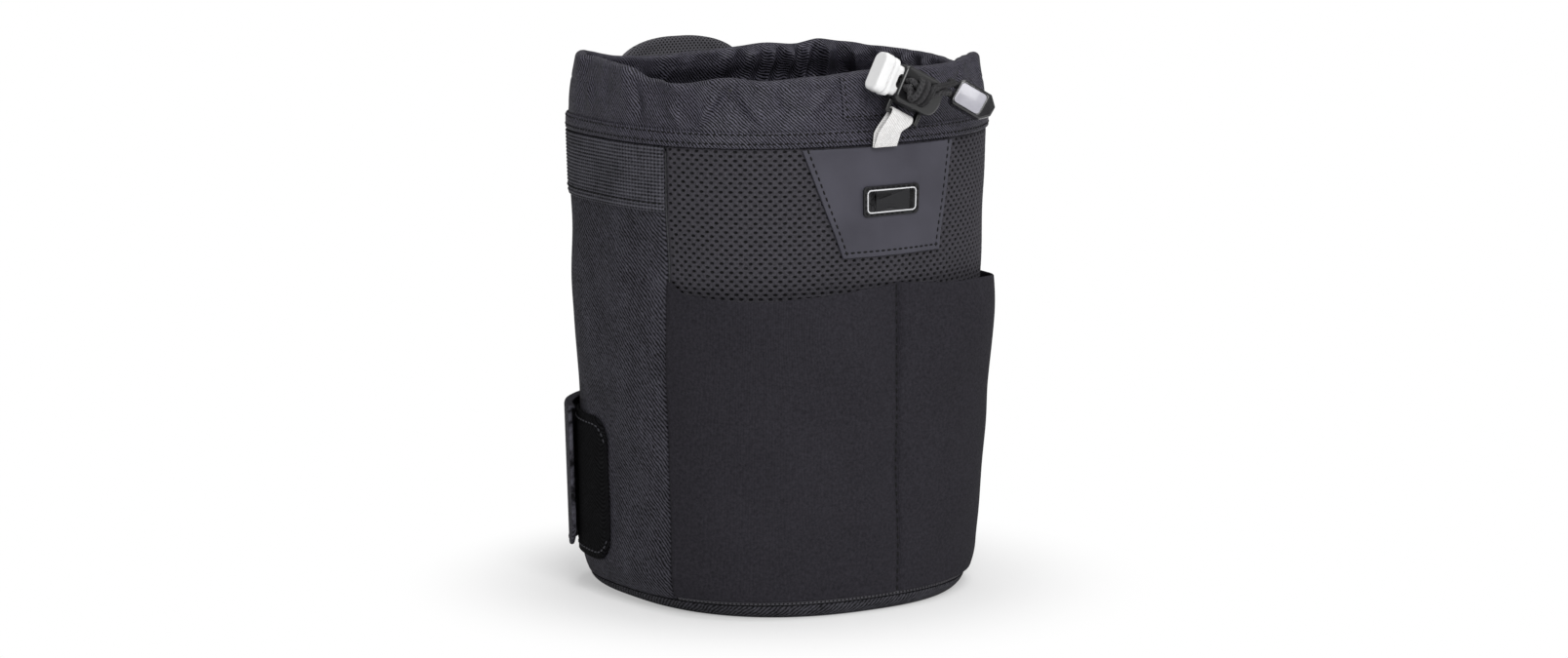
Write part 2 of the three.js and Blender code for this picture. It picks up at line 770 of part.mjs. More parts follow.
// Belt carrier
function cornerLift(angle, endAngle, corner) {
  const along = degrees(Math.min(angle - endAngle, wholeTurn - endAngle - angle)) * (bodyWidth / 2);
  return corner - Math.sqrt(corner ** 2 - Math.max(corner - along, 0) ** 2) * cornerShare;
}

function cornerAngles(endAngle, corner) {
  return cornerStepShares.flatMap((share) => {
    const away = THREE.MathUtils.radToDeg((share * corner) / (bodyWidth / 2));
    return [endAngle + away, wholeTurn - endAngle - away];
  });
}
const padAngles = anglesBetween(padEndAngle, wholeTurn - padEndAngle, cornerAngles(padEndAngle, padCorner));
add('belt_pad', wrap(padAngles, (angle) => {
  const lift = cornerLift(angle, padEndAngle, padCorner);
  return [[padOut, padFoot + lift], [padOut, padTop - lift], [play, padTop - lift], [play, padFoot + lift]];
}), cloth);

function flapInner(angle) {
  const away = Math.abs(angle - wholeTurn / 2);
  const wing = smooth((away - flapRootHalfAngle) / (wholeTurn / 2 - flapEndAngle - flapRootHalfAngle));
  return padOut + flapGapMiddle + (flapGapEnd - flapGapMiddle) * wing;
}

function flapRootOut(angle) {
  const away = Math.abs(angle - wholeTurn / 2);
  const wing = smooth((away - flapRootHalfAngle) / (flapWingAngle - flapRootHalfAngle));
  return play + (flapWingRoot - play) * wing;
}

function flapProfile(angle) {
  const inner = flapInner(angle);
  const outer = inner + flapThickness;
  const root = flapRootOut(angle);
  const lift = cornerLift(angle, flapEndAngle, flapCorner);
  const low = flapFoot + lift;
  const top = flapHingeHeight + flapRootRadius;
  const under = flapHingeHeight - flapRootRadius;
  return [
    [outer, low],
    [outer, (low + under) / 2],
    [outer, under],
    [outer - flapThickness / 2, top],
    [root + flapRootRadius / 2, top],
    [root, flapHingeHeight],
    [root + flapRootRadius / 2, under],
    [inner, under],
    [inner, (low + under) / 2],
    [inner, low],
  ];
}
const flapCornerAngles = cornerAngles(flapEndAngle, flapCorner);
const flapAngles = anglesBetween(flapEndAngle, wholeTurn - flapEndAngle, flapCornerAngles);
add('belt_flap', wrap(flapAngles, flapProfile), cloth);

function gripPatch(outer, inner) {
  const columns = evenShares(gripColumns).map((share) => 1 - share);
  return plateOnFace(columns, (share) => {
    const x = (2 * share - 1) * gripHalfWidth;
    return { low: new THREE.Vector2(x, gripFoot), high: new THREE.Vector2(x, gripFoot + gripHeight) };
  }, outer, inner, false);
}
const flapFace = padOut + flapGapMiddle - play;
add('loop_patch', gripPatch(padOut + play + gripThickness, padOut + play), gripCloth);
add('hook_patch', gripPatch(flapFace, flapFace - gripThickness), gripCloth);

// Cord lock
function lockBody() {
  const shape = new THREE.Shape();
  const half = lockHeight / 2;
  const mouthCorner = lockBevel + lockWall;
  shape.moveTo(lockMouth, -half + mouthCorner);
  shape.quadraticCurveTo(lockMouth, -half, lockMouth + mouthCorner, -half);
  shape.lineTo(lockEnd - lockEndRadius, -half);
  shape.bezierCurveTo(lockEnd - lockEndRadius / 4, -half, lockEnd, -half / 2, lockEnd, 0);
  shape.bezierCurveTo(lockEnd, half / 2, lockEnd - lockEndRadius / 4, half, lockEnd - lockEndRadius, half);
  shape.lineTo(lockMouth + mouthCorner, half);
  shape.quadraticCurveTo(lockMouth, half, lockMouth, half - mouthCorner);
  const shell = thick(shape, lockDepth, lockBevel, fineCurve);
  const lugReach = barDrop - half + lockBevel + barRadius;
  const lugs = [barLeft - lugWidth / 2, barRight + lugWidth / 2].map((x) => thick(
    roundedRectangle(lugWidth, lugReach, lugWidth / 3), 2 * barRadius + lugWidth / 2)
    .translate(x, -barDrop - barRadius + lugReach / 2, 0));
  const bar = new THREE.CylinderGeometry(barRadius, barRadius, barRight - barLeft + lugWidth, cordSides)
    .rotateZ(Math.PI / 2).translate((barLeft + barRight) / 2, -barDrop, 0);
  const boreLength = boreEnd - lockMouth + overrun;
  const boreDepth = plungerDepth + 2 * play;
  const boreHeight = plungerHeight + 2 * play;
  const bore = thick(roundedRectangle(boreDepth, boreHeight, plungerCorner + play), boreLength)
    .rotateY(Math.PI / 2).translate(boreEnd - boreLength / 2, 0, 0);
  return cut(join(shell, ...lugs, bar), bore, cordHole(cordHoleCentre));
}

function cordHole(centre) {
  return thick(roundedRectangle(cordHoleLength, cordHoleHeight, cordRadius + play), lockDepth + 2 * overrun)
    .translate(centre, 0, 0);
}

const plungerHeight = lockHeight - 2 * (lockWall + play);
const plungerDepth = lockDepth - 2 * (lockWall + play);
const plungerCorner = plungerDepth / 3;

function lockButton() {
  const capRight = lockMouth - buttonShow;
  const capShape = roundedRectangle(buttonCapDepth, buttonCapHeight, buttonCapCorner);
  const cap = thick(capShape, buttonCapLength, buttonBevel, fineCurve)
    .rotateY(Math.PI / 2).translate(capRight - buttonCapLength / 2, 0, 0);
  const plungerLength = plungerEnd - capRight + buttonBevel;
  const plunger = thick(roundedRectangle(plungerDepth, plungerHeight, plungerCorner), plungerLength)
    .rotateY(Math.PI / 2).translate(plungerEnd - plungerLength / 2, 0, 0);
  return cut(join(cap, plunger), cordHole(cordHoleCentre - buttonTravel));
}

function lockSpring() {
  const from = plungerEnd + play + springWire;
  const to = boreEnd - play - springWire;
  const points = evenShares(springSteps).map((share) => {
    const turn = 2 * Math.PI * springTurns * share;
    const way = from + (to - from) * share;
    return new THREE.Vector3(way, springRadius * Math.cos(turn), springRadius * Math.sin(turn));
  });
  return tubeThrough(points, springWire, springSides);
}
add('cord_lock_body', lockBody(), blackPlastic, lockGroup);
add('cord_lock_button', lockButton(), whitePlastic, lockGroup);
add('cord_lock_spring', lockSpring(), steel, lockGroup);

// Cord ends: two strands through the lock, a wound knot in front of it, and two tails to the clip
const strandBack = lockCentre.y - cordLeavesY + play;
const strandFront = lockDepth / 2 + play;
const knotFoot = strandFront + play;
const straight = 2 * cordRadius;
for (const [name, side] of [['cord_strand_upper', 1], ['cord_strand_lower', -1]]) {
  add(name, cordAlong([
    new THREE.Vector3(pinch, side * cordPairOffset, strandBack),
    new THREE.Vector3(pinch, side * cordPairOffset, strandFront),
  ], strandSteps), cordCloth, lockGroup);
}

function knotRoute() {
  const squared = (value) => Math.sign(value) * Math.abs(value) ** knotSquareness;
  const turnsAt = (turns) => new THREE.Vector3(
    knotStart + knotPitch * turns,
    knotUp - knotHalfHeight * squared(Math.cos(2 * Math.PI * turns)),
    knotOut + knotHalfDepth * squared(Math.sin(2 * Math.PI * turns)));
  const lead = new THREE.CatmullRomCurve3([
    new THREE.Vector3(pinch, -cordPairOffset, knotFoot),
    new THREE.Vector3(pinch, -cordPairOffset, knotFoot + straight),
    turnsAt(0),
    turnsAt(leadTurnShare),
  ]).getPoints(leadSteps).slice(0, -1);
  const winding = evenShares(Math.round(knotTurns * knotSteps)).slice(2)
    .map((share) => turnsAt(share * knotTurns));
  const last = winding[winding.length - 1];
  const end = tailStartUpper;
  const finish = new THREE.CatmullRomCurve3([
    winding[winding.length - 2], last, last.clone().lerp(end, 1 / 2).setY(end.y), end,
    end.clone().addScaledVector(tailWay, straight),
  ]).getPoints(finishSteps).slice(finishStart);
  return [...lead, ...winding, ...finish];
}

// Least distance between two stretches of a tube that are not neighbours along it
function leastGap(points, radius) {
  const length = points.slice(1).reduce((sum, p, i) => sum + p.distanceTo(points[i]), 0);
  const skip = Math.ceil((2 * Math.PI * radius * points.length) / length);
  const gaps = points.flatMap((p, i) => points.slice(i + skip).map((q) => p.distanceTo(q)));
  return Math.min(...gaps) - 2 * radius;
}

const tailStartUpper = new THREE.Vector3(
  knotStart + knotPitch * (knotTurns + 1), knotUp + knotHalfHeight, knotOut);
const clipLean = new THREE.Euler(0, -degrees(clipTurn), -degrees(clipRoll), 'YZX');
const turnedWithClip = (x, y, z) => new THREE.Vector3(x, y, z).applyEuler(clipLean);
const tailEnds = [1, -1].map((side) => turnedWithClip(
  clipHoleDepth - play - clipLength / 2, (side * clipHolePitch) / 2, 0).add(clipCentre));
const tailLead = turnedWithClip(-clipHoleDepth - straight, 0, 0);
const tailWay = tailEnds[0].clone().add(tailLead).sub(tailStartUpper).normalize();
const knotPoints = knotRoute();
console.log(`cord_knot least gap to itself ${leastGap(knotPoints, cordRadius).toFixed(2)} mm`);
add('cord_knot', tubeThrough(knotPoints, cordRadius, windingSides), cordCloth, lockGroup);

const tailRise = new THREE.Vector3(0, cordRadius / 2, 3.8 * cordRadius);
function tailRoute(points, end) {
  const entry = end.clone().add(tailLead);
  const middle = points[points.length - 1].clone().lerp(entry, 1 / 2).add(tailRise);
  return [...points, middle, entry, entry.clone().lerp(end, 1 / 3), entry.clone().lerp(end, 2 / 3), end];
}
const knotEnd = knotPoints[knotPoints.length - 1].clone().addScaledVector(tailWay, play);
const upperStart = [knotEnd, knotEnd.clone().addScaledVector(tailWay, straight)];
add('cord_tail_upper', cordAlong(tailRoute(upperStart, tailEnds[0]), tailSteps), cordCloth, lockGroup);
const coreHeight = knotUp + cordRadius;
const core = [
  new THREE.Vector3(pinch, cordPairOffset, knotFoot),
  new THREE.Vector3(pinch, cordPairOffset, knotFoot + straight),
  new THREE.Vector3(pinch + straight, coreHeight, knotOut),
  new THREE.Vector3(0, coreHeight, knotOut),
  new THREE.Vector3(tailStartUpper.x, coreHeight, knotOut),
  new THREE.Vector3(tailStartUpper.x, coreHeight, knotOut).addScaledVector(tailWay, 2 * straight),
];
add('cord_tail_lower', cordAlong(tailRoute(core, tailEnds[1]), coreSteps), cordCloth, lockGroup);

// Clip that holds both cord ends
function clipBody() {
  const shape = new THREE.Shape();
  const x = clipLength / 2;
  const y = clipWidth / 2;
  shape.moveTo(-x, -y + clipCorner);
  shape.quadraticCurveTo(-x, -y, -x + clipCorner, -y);
  shape.lineTo(x - clipNose, -y);
  shape.lineTo(x, -y + clipNose);
  shape.lineTo(x, y - clipNose);
  shape.lineTo(x - clipNose, y);
  shape.lineTo(-x + clipCorner, y);
  shape.quadraticCurveTo(-x, y, -x, y - clipCorner);
  const holes = [1, -1].map((side) => new THREE.CylinderGeometry(
    cordRadius + play, cordRadius + play, clipHoleDepth + overrun, cordSides)
    .rotateZ(Math.PI / 2).translate(-x + (clipHoleDepth - overrun) / 2, (side * clipHolePitch) / 2, 0));
  const recess = thick(
    roundedRectangle(facePlateLength + 2 * play, facePlateWidth + 2 * play, facePlateCorner + play),
    2 * (facePlateThickness + play)).translate(facePlateShift, 0, clipDepth / 2);
  return cut(thick(shape, clipDepth, clipBevel), ...holes, recess);
}
const clipGroup = new THREE.Group();
clipGroup.position.copy(clipCentre);
clipGroup.rotation.copy(clipLean);
lockGroup.add(clipGroup);
add('end_clip_body', clipBody(), blackPlastic, clipGroup);
const facePlate = roundedRectangle(facePlateLength, facePlateWidth, facePlateCorner);
add('end_clip_face', thick(facePlate, facePlateThickness)
  .translate(facePlateShift, 0, clipDepth / 2 - facePlateThickness / 2), silverPlastic, clipGroup);

// Anchor ribbon: sewn in at the collar seam, over the lock's bar and back down
function ribbon() {
  const wrapRadius = barRadius + play + ribbonThickness / 2;
  const barMiddle = (barLeft + barRight) / 2;
  const barCentre = fromLock(barMiddle, -barDrop, 0);
  const surface = facePoint(ribbonFootX, patchTop, 0).y - patchOut - play - tapeThickness - ribbonThickness;
  const footBack = new THREE.Vector3(ribbonFootX, surface, patchTop);
  const footFront = footBack.clone().setY(surface - ribbonThickness - play);
  const seamAcross = new THREE.Vector3(1, 0, 0);
  const barAcross = fromLock(1, 0, 0).sub(fromLock(0, 0, 0));
  const up = fromLock(0, 1, 0).sub(fromLock(0, 0, 0));
  const out = new THREE.Vector3(0, -1, 0);
  const over = evenShares(ribbonTurns).map((share) => {
    const turn = Math.PI * share;
    const normal = up.clone().multiplyScalar(Math.sin(turn)).addScaledVector(out, -Math.cos(turn));
    return { centre: barCentre.clone().addScaledVector(normal, wrapRadius), across: barAcross, normal };
  });
  const leg = (foot, top, sign) => [0, 1 / 3, 2 / 3].map((share) => ({
    centre: foot.clone().lerp(top.centre, share),
    across: seamAcross.clone().lerp(barAcross, smooth(share)).normalize(),
    normal: out.clone().multiplyScalar(sign),
  }));
  const route = [...leg(footBack, over[0], -1), ...over, ...leg(footFront, over[ribbonTurns], 1).reverse()];
  const corners = [[-1, 1], [1, 1], [1, -1], [-1, -1]];
  return loft(route.map(({ centre, across, normal }) => corners.map(([a, n]) => centre.clone()
    .addScaledVector(across, (a * ribbonWidth) / 2).addScaledVector(normal, (n * ribbonThickness) / 2))));
}
add('anchor_ribbon', ribbon(), ribbonCloth);

export default pouch;
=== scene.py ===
# %% [markdown]
# # A drawstring lens pouch, dressed piece by piece
#
# The pouch is a padded tube of cloth with a gathered collar, a stretch pocket, a rubber patch and a
# small cord lock. Its solids come packed with a frame: bodies, joints and one node for each piece. We
# load that frame first and only ever add finer pieces on top of it, so sizes and motion stay the
# frame's own.

# %% Open the frame
import json
import math

import bmesh
import bpy
import numpy as np
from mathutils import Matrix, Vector

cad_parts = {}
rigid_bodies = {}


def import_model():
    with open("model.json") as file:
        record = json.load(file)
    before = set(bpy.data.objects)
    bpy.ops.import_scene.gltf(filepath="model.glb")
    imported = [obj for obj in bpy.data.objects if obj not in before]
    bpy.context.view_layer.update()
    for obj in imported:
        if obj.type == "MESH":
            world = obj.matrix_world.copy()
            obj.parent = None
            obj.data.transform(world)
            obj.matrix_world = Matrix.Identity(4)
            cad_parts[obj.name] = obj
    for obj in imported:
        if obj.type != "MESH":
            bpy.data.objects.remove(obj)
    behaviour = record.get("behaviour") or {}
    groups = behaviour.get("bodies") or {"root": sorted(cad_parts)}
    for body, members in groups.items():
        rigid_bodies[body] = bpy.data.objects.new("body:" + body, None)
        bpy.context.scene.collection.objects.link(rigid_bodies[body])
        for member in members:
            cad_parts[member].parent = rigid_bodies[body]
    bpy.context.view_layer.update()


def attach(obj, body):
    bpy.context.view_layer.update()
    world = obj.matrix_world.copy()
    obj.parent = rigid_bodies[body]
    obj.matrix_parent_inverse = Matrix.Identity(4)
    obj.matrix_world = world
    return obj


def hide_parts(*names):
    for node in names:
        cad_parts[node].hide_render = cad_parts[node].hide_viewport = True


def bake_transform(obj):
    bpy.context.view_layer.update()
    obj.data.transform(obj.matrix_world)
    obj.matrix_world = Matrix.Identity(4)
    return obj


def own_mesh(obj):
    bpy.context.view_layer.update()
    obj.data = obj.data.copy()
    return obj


for thing in list(bpy.data.objects):
    bpy.data.objects.remove(thing)
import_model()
MM = 0.001

# %% [markdown]
# ## The camera
#
# The view is a long lens, two metres away, a little above the pouch and turned to its left. A long
# lens keeps upright seams nearly parallel, as in a catalogue picture.

# %% Place the camera
EYE = Vector((-1.0745, -1.6547, 0.430))
AIM = Vector((0.0022, -0.0014, 0.112))
LENS = 105
SENSOR = 36

camera = bpy.data.objects.new("camera", bpy.data.cameras.new("camera"))
camera.data.lens = LENS
camera.data.sensor_width = SENSOR
camera.location = EYE
camera.rotation_euler = (AIM - EYE).to_track_quat("-Z", "Y").to_euler()
bpy.context.collection.objects.link(camera)
bpy.context.scene.camera = camera
print("Camera distance, in metres:", round((AIM - EYE).length, 3))

# %% [markdown]
# ## The body's section
#
# Every layer of this pouch follows one rounded section, so we write that section once: a superellipse,
# rounder in front than at the back, that narrows toward the floor. A point is named by its angle round
# the body (0 at the front, growing toward +X), its height and its distance out from the shell, all in
# millimetres and degrees. Modelling by hand would also work, but then twenty layers would have to be
# kept clear of one another by eye.

# %% The section as a function
BODY_WIDTH = 176.0
FRONT_DEPTH = 82.0
BACK_DEPTH = 66.0
SEAM_HEIGHT = 201.7
TAPER = 0.065
FRONT_POWER = 2.35
BACK_POWER = 3.2
FOOT_TURN_IN, FOOT_TURN_HEIGHT = 8.0, 18.0
SIDE_SEAM = 65
BACK_SEAM = 138
PLAY = 0.3


def smooth(t):
    t = np.clip(t, 0, 1)
    return t * t * (3 - 2 * t)


def half_sizes(z):
    """Half the body's width at a height, and the share that its depths have grown to."""
    grown = 1 - TAPER * (1 - np.minimum(z, SEAM_HEIGHT) / SEAM_HEIGHT)
    turned_in = FOOT_TURN_IN * np.maximum(1 - z / FOOT_TURN_HEIGHT, 0) ** 2
    return BODY_WIDTH / 2 * grown - turned_in, grown


def skin(angle, z, out=0.0):
    """Points of the body, in mm, at angles round it, heights, and distances out from its shell."""
    angle, z, out = np.broadcast_arrays(*(np.asarray(v, float) for v in (angle, z, out)))
    s, c = np.sin(np.radians(angle)), np.cos(np.radians(angle))
    a, grown = half_sizes(z)
    b = np.where(c > 0, FRONT_DEPTH, BACK_DEPTH) * grown
    n = np.where(c > 0, FRONT_POWER, BACK_POWER)
    r = (np.abs(s / a) ** n + np.abs(c / b) ** n) ** (-1 / n)
    x, y = r * s, -r * c
    nx = np.sign(x) * np.abs(x / a) ** (n - 1) / a
    ny = np.sign(y) * np.abs(y / b) ** (n - 1) / b
    size = np.hypot(nx, ny)
    return np.stack([x + out * nx / size, y + out * ny / size, z], -1)


def outward(angle, z):
    """The direction that faces away from the body there."""
    return skin(angle, z, 1.0) - skin(angle, z, 0.0)


def angle_of(x, z, front=True):
    """The angle at which the front or the back has that x."""
    half_width, grown = half_sizes(z)
    depth, n = (FRONT_DEPTH, FRONT_POWER) if front else (BACK_DEPTH, BACK_POWER)
    y = depth * grown * (1 - np.abs(x / half_width) ** n) ** (1 / n)
    return np.degrees(np.arctan2(x, y if front else -y)) % 360


turn = np.arange(-180, 181, 0.5)
steps = np.linalg.norm(np.diff(skin(turn, SEAM_HEIGHT), axis=0), axis=1)
arc_table = np.concatenate([[0], np.cumsum(steps)])
GIRTH = arc_table[-1]


def arc_at(angle):
    """Distance along the section at the collar seam, 0 at the front."""
    angle = np.asarray(angle, float)
    whole = np.floor((angle + 180) / 360)
    return np.interp(angle - 360 * whole, turn, arc_table) + GIRTH * (whole - 0.5)


def angle_at(arc):
    """The angle at a distance along the section, however many times round."""
    return np.interp((np.asarray(arc, float) + GIRTH / 2) % GIRTH, arc_table, turn)


def half_turn(angle):
    """The same direction as an angle from -180 to 180."""
    return (np.asarray(angle, float) + 180) % 360 - 180


def once_round(steps):
    """Distances along the section in even steps, the last one short of the first."""
    return np.linspace(-GIRTH / 2, GIRTH / 2, steps + 1)[:-1]


print("Girth at the collar seam, in mm:", round(float(GIRTH), 1))

# %% [markdown]
# ### Soft swells
#
# Foam under stretched cloth is never dead true. A few slow waves, the same for every layer at a place,
# let the wall swell by about a millimetre without any layer cutting the next. They fade out at the
# collar seam and at the floor, where the cloth is sewn tight.

# %% The swells of the padded wall
SWELLS = [
    # amplitude in mm, waves round the body, length of half a wave up the body in mm, phase
    (0.42, 3, 61, 0.4),
    (0.30, 5, -43, 2.1),
    (0.22, 8, 29, 4.0),
    (0.16, 13, -19, 1.2),
]


def sag(angle, z):
    angle, z = np.broadcast_arrays(np.asarray(angle, float), np.asarray(z, float))
    total = sum(
        size * np.sin(np.radians(waves * angle) + 2 * np.pi * z / length / 2 + phase)
        for size, waves, length, phase in SWELLS
    )
    return total * smooth((SEAM_HEIGHT - 4 - z) / 40) * smooth((z - 6) / 30)


grid_angle, grid_z = np.meshgrid(np.arange(0, 360, 3), np.arange(0, 200, 4))
print("Largest swell, in mm:", round(float(np.abs(sag(grid_angle, grid_z)).max()), 2))

# %% [markdown]
# ## Building meshes from grids
#
# Nearly everything here is cloth, and cloth is a grid of points: columns along it and rows up it. Two
# grids with a little distance between them make a closed sheet, one grid wrapped round makes a tube or
# a bowl. Each of these meshes also gets a UV map named weave that holds the cloth laid flat, in
# millimetres, so that threads keep their size however the cloth is bent.


# %% Grids, sheets and tubes
def corners(columns, rows, ring=False, loop=False):
    """The four (column, row) corners of each face of a grid, before they are wrapped round."""
    i, j = np.meshgrid(
        np.arange(columns if ring else columns - 1), np.arange(rows if loop else rows - 1), indexing="ij"
    )
    i, j = i.ravel(), j.ravel()
    return np.stack([np.stack(pair, 1) for pair in ((i, j), (i + 1, j), (i + 1, j + 1), (i, j + 1))], 1)


def laid_flat(grid, ring=False, loop=False):
    """Where each point of a grid lies on the flat cloth, in mm."""
    if ring:
        grid = np.concatenate([grid, grid[:1]])
    if loop:
        grid = np.concatenate([grid, grid[:, :1]], 1)
    middle = grid[:, grid.shape[1] // 2]
    along = np.concatenate([[0], np.cumsum(np.linalg.norm(np.diff(middle, axis=0), axis=1))])
    rises = np.linalg.norm(np.diff(grid, axis=1), axis=2)
    up = np.concatenate([np.zeros((len(grid), 1)), np.cumsum(rises, axis=1)], 1)
    return np.stack([np.broadcast_to(along[:, None], up.shape), up], -1)


def in_scene(name, data):
    """A new object of that mesh or light, in the scene."""
    thing = bpy.data.objects.new(name, data)
    bpy.context.collection.objects.link(thing)
    return thing


def smooth_shaded(mesh):
    mesh.polygons.foreach_set("use_smooth", np.ones(len(mesh.polygons), bool))


def mark(mesh, key, values):
    """Keeps one number for each point of a mesh, for a tree or a finish to read."""
    mesh.attributes.new(key, "FLOAT", "POINT").data.foreach_set("value", np.float32(values))


def inside_out(mesh):
    """Whether a closed mesh's faces look inward, judged by its signed volume."""
    solid = bmesh.new()
    solid.from_mesh(mesh)
    volume = solid.calc_volume(signed=True)
    solid.free()
    return volume < 0


def link_mesh(name, points, faces, weave):
    """A smooth-shaded object from points in mm, faces and, per corner, its place on the flat cloth."""
    mesh = bpy.data.meshes.new(name)
    mesh.from_pydata((np.asarray(points, float).reshape(-1, 3) * MM).tolist(), [], faces)
    laid = mesh.uv_layers.new(name="weave")
    laid.uv.foreach_set("vector", np.asarray(weave, np.float32).ravel())
    smooth_shaded(mesh)
    mesh.update()
    if inside_out(mesh):
        mesh.flip_normals()
    return in_scene(name, mesh)


def sheet_between(name, outer, inner, ring=False):
    """A closed sheet of cloth between two grids of points."""
    columns, rows = outer.shape[:2]
    count = columns * rows
    flat = laid_flat(outer, ring)

    def index(corner, side):
        return side * count + (corner[..., 0] % columns) * rows + corner[..., 1]

    front = corners(columns, rows, ring)
    faces = [index(front, 0), index(front[:, ::-1], 1)]
    places = [front, front[:, ::-1]]

    def strip(first, second):
        """Faces that close an edge, from the outer grid's corners to the inner grid's."""
        faces.append(np.stack([index(first, 0), index(first, 1), index(second, 1), index(second, 0)], 1))
        places.append(np.stack([first, first, second, second], 1))

    k = np.arange(columns if ring else columns - 1)
    foot, top = np.zeros_like(k), np.full_like(k, rows - 1)
    strip(np.stack([k, foot], 1), np.stack([k + 1, foot], 1))
    strip(np.stack([k + 1, top], 1), np.stack([k, top], 1))
    if not ring:
        q = np.arange(rows - 1)
        start, end = np.zeros_like(q), np.full_like(q, columns - 1)
        strip(np.stack([start, q + 1], 1), np.stack([start, q], 1))
        strip(np.stack([end, q], 1), np.stack([end, q + 1], 1))
    places = np.concatenate(places)
    weave = flat[places[..., 0], places[..., 1]]
    points = np.concatenate([outer.reshape(-1, 3), inner.reshape(-1, 3)])
    return link_mesh(name, points, np.concatenate(faces).tolist(), weave)


def layer(name, angle, z, outer, inner, ring=False):
    """A sheet on the body, from its inner to its outer distance from the shell."""
    return sheet_between(name, skin(angle, z, outer), skin(angle, z, inner), ring)


def wrapped_round(name, grid, loop=False):
    """A grid whose columns go once round: a ring when its rows close too, or else a capped tube."""
    columns, rows = grid.shape[:2]
    places = corners(columns, rows, ring=True, loop=loop)
    faces = ((places[..., 0] % columns) * rows + places[..., 1] % rows).tolist()
    weave = laid_flat(grid, ring=True, loop=loop)[places[..., 0], places[..., 1]].reshape(-1, 2)
    if not loop:
        around = np.arange(columns) * rows
        faces += [around[::-1].tolist(), (around + rows - 1).tolist()]
        weave = np.concatenate([weave, np.zeros((2 * columns, 2))])
    return link_mesh(name, grid, faces, weave)


def tube(name, path, radius, sides=14):
    """A round cord along a path, with a turned-in end at both ends."""
    path = np.asarray(path, float)
    ahead = np.gradient(path, axis=0)
    ahead /= np.linalg.norm(ahead, axis=1)[:, None]
    side = np.cross(ahead[0], [0.3, 0.2, 1.0])
    sides_at = []
    for t in ahead:
        side = side - t * side.dot(t)
        side = side / np.linalg.norm(side)
        sides_at.append(side)
    side = np.array(sides_at)
    over = np.cross(ahead, side)
    angles = np.arange(sides) * 2 * np.pi / sides
    sizes = np.full(len(path), float(radius))
    spots = path.copy()
    ends = [(0, -1, (0.55, 0.9)), (-1, 1, (0.9, 0.55))]
    for end, way, shares in ends:
        tips = [path[end] + ahead[end] * way * radius * math.sqrt(1 - s * s) * 0.4 for s in shares]
        block = lambda values: np.repeat(values[end][None], 2, 0)
        if way < 0:
            spots, sizes = np.concatenate([tips, spots]), np.concatenate([radius * np.array(shares), sizes])
            side, over = np.concatenate([block(side), side]), np.concatenate([block(over), over])
        else:
            spots, sizes = np.concatenate([spots, tips]), np.concatenate([sizes, radius * np.array(shares)])
            side, over = np.concatenate([side, block(side)]), np.concatenate([over, block(over)])
    cosine, sine = np.cos(angles)[:, None, None], np.sin(angles)[:, None, None]
    grid = spots[None] + sizes[None, :, None] * (cosine * side[None] + sine * over[None])
    return wrapped_round(name, grid)


def rounded(distance, radius):
    """How full a sheet is: about a quarter at its very edge, 1 at radius from it, round between."""
    away = np.clip(distance / radius, 0.03, 1)
    return np.sqrt(1 - (1 - away) ** 2)


def fade(distance, half):
    """1 in the middle of a line, fading to both sides of it."""
    return np.exp(-((distance / half) ** 2))


def crossed(columns, rows):
    """The two coordinates at every point of a grid."""
    return np.meshgrid(columns, rows, indexing="ij")


def panel_grid(arcs, heights):
    """Angle, height and distance to the nearest edge over a panel with four edges."""
    arc, z = crossed(arcs, heights)
    from_edge = np.minimum.reduce([arc - arcs[0], arcs[-1] - arc, z - heights[0], heights[-1] - z])
    return angle_at(arc), z, from_edge


def edge_steps(low, high, radius, spacing):
    """Places from low to high, closer together in the round edges."""
    near = radius * np.array([0, 0.06, 0.22, 0.5])
    middle = np.linspace(low + radius, high - radius, max(2, round((high - low - 2 * radius) / spacing)))
    return np.concatenate([low + near, middle, (high - near)[::-1]])


print("Helpers for cloth are ready")

# %% [markdown]
# ## Shader maths that reads like Python
#
# A weave is arithmetic on the flat cloth's coordinates. Wiring Math nodes by hand hides that, so a
# small class wraps a socket and overloads the operators: writing 1 - mask * 0.5 adds the nodes. The
# same class serves Geometry Nodes later.


# %% Wires and node trees
def is_wire(value):
    return isinstance(value, Wire)


class Wire:
    """One output socket of a node tree."""

    def __init__(self, nodes, made, output=0):
        self.nodes, self.made = nodes, made
        self.socket = made.outputs[output] if len(made.outputs) else None

    def out(self, output):
        return Wire(self.nodes, self.made, output)

    def math(self, operation, *others):
        values = dict(enumerate((self, *others)))
        return self.nodes.node("ShaderNodeMath", {"operation": operation}, values)

    def __add__(self, other):
        return self.math("ADD", other)

    __radd__ = __add__

    def __mul__(self, other):
        return self.math("MULTIPLY", other)

    __rmul__ = __mul__

    def __sub__(self, other):
        return self.math("SUBTRACT", other)

    def __rsub__(self, other):
        return self * -1.0 + other

    def __truediv__(self, other):
        return self.math("DIVIDE", other)


class Nodes:
    """A node tree with one method that adds any node."""

    def __init__(self, tree):
        self.tree = tree

    def node(self, kind, settings=None, inputs=None, output=0):
        made = self.tree.nodes.new(kind)
        for key, value in (settings or {}).items():
            setattr(made, key, value)
        for key, value in (inputs or {}).items():
            if is_wire(value):
                self.tree.links.new(value.socket, made.inputs[key])
            else:
                made.inputs[key].default_value = value
        return Wire(self, made, output)


def shade(red, green, blue):
    """A colour as a picture editor shows it, 0 to 255, made linear for the shader."""
    def linear(v):
        v /= 255
        return v / 12.92 if v <= 0.04045 else ((v + 0.055) / 1.055) ** 2.4
    return (linear(red), linear(green), linear(blue), 1.0)


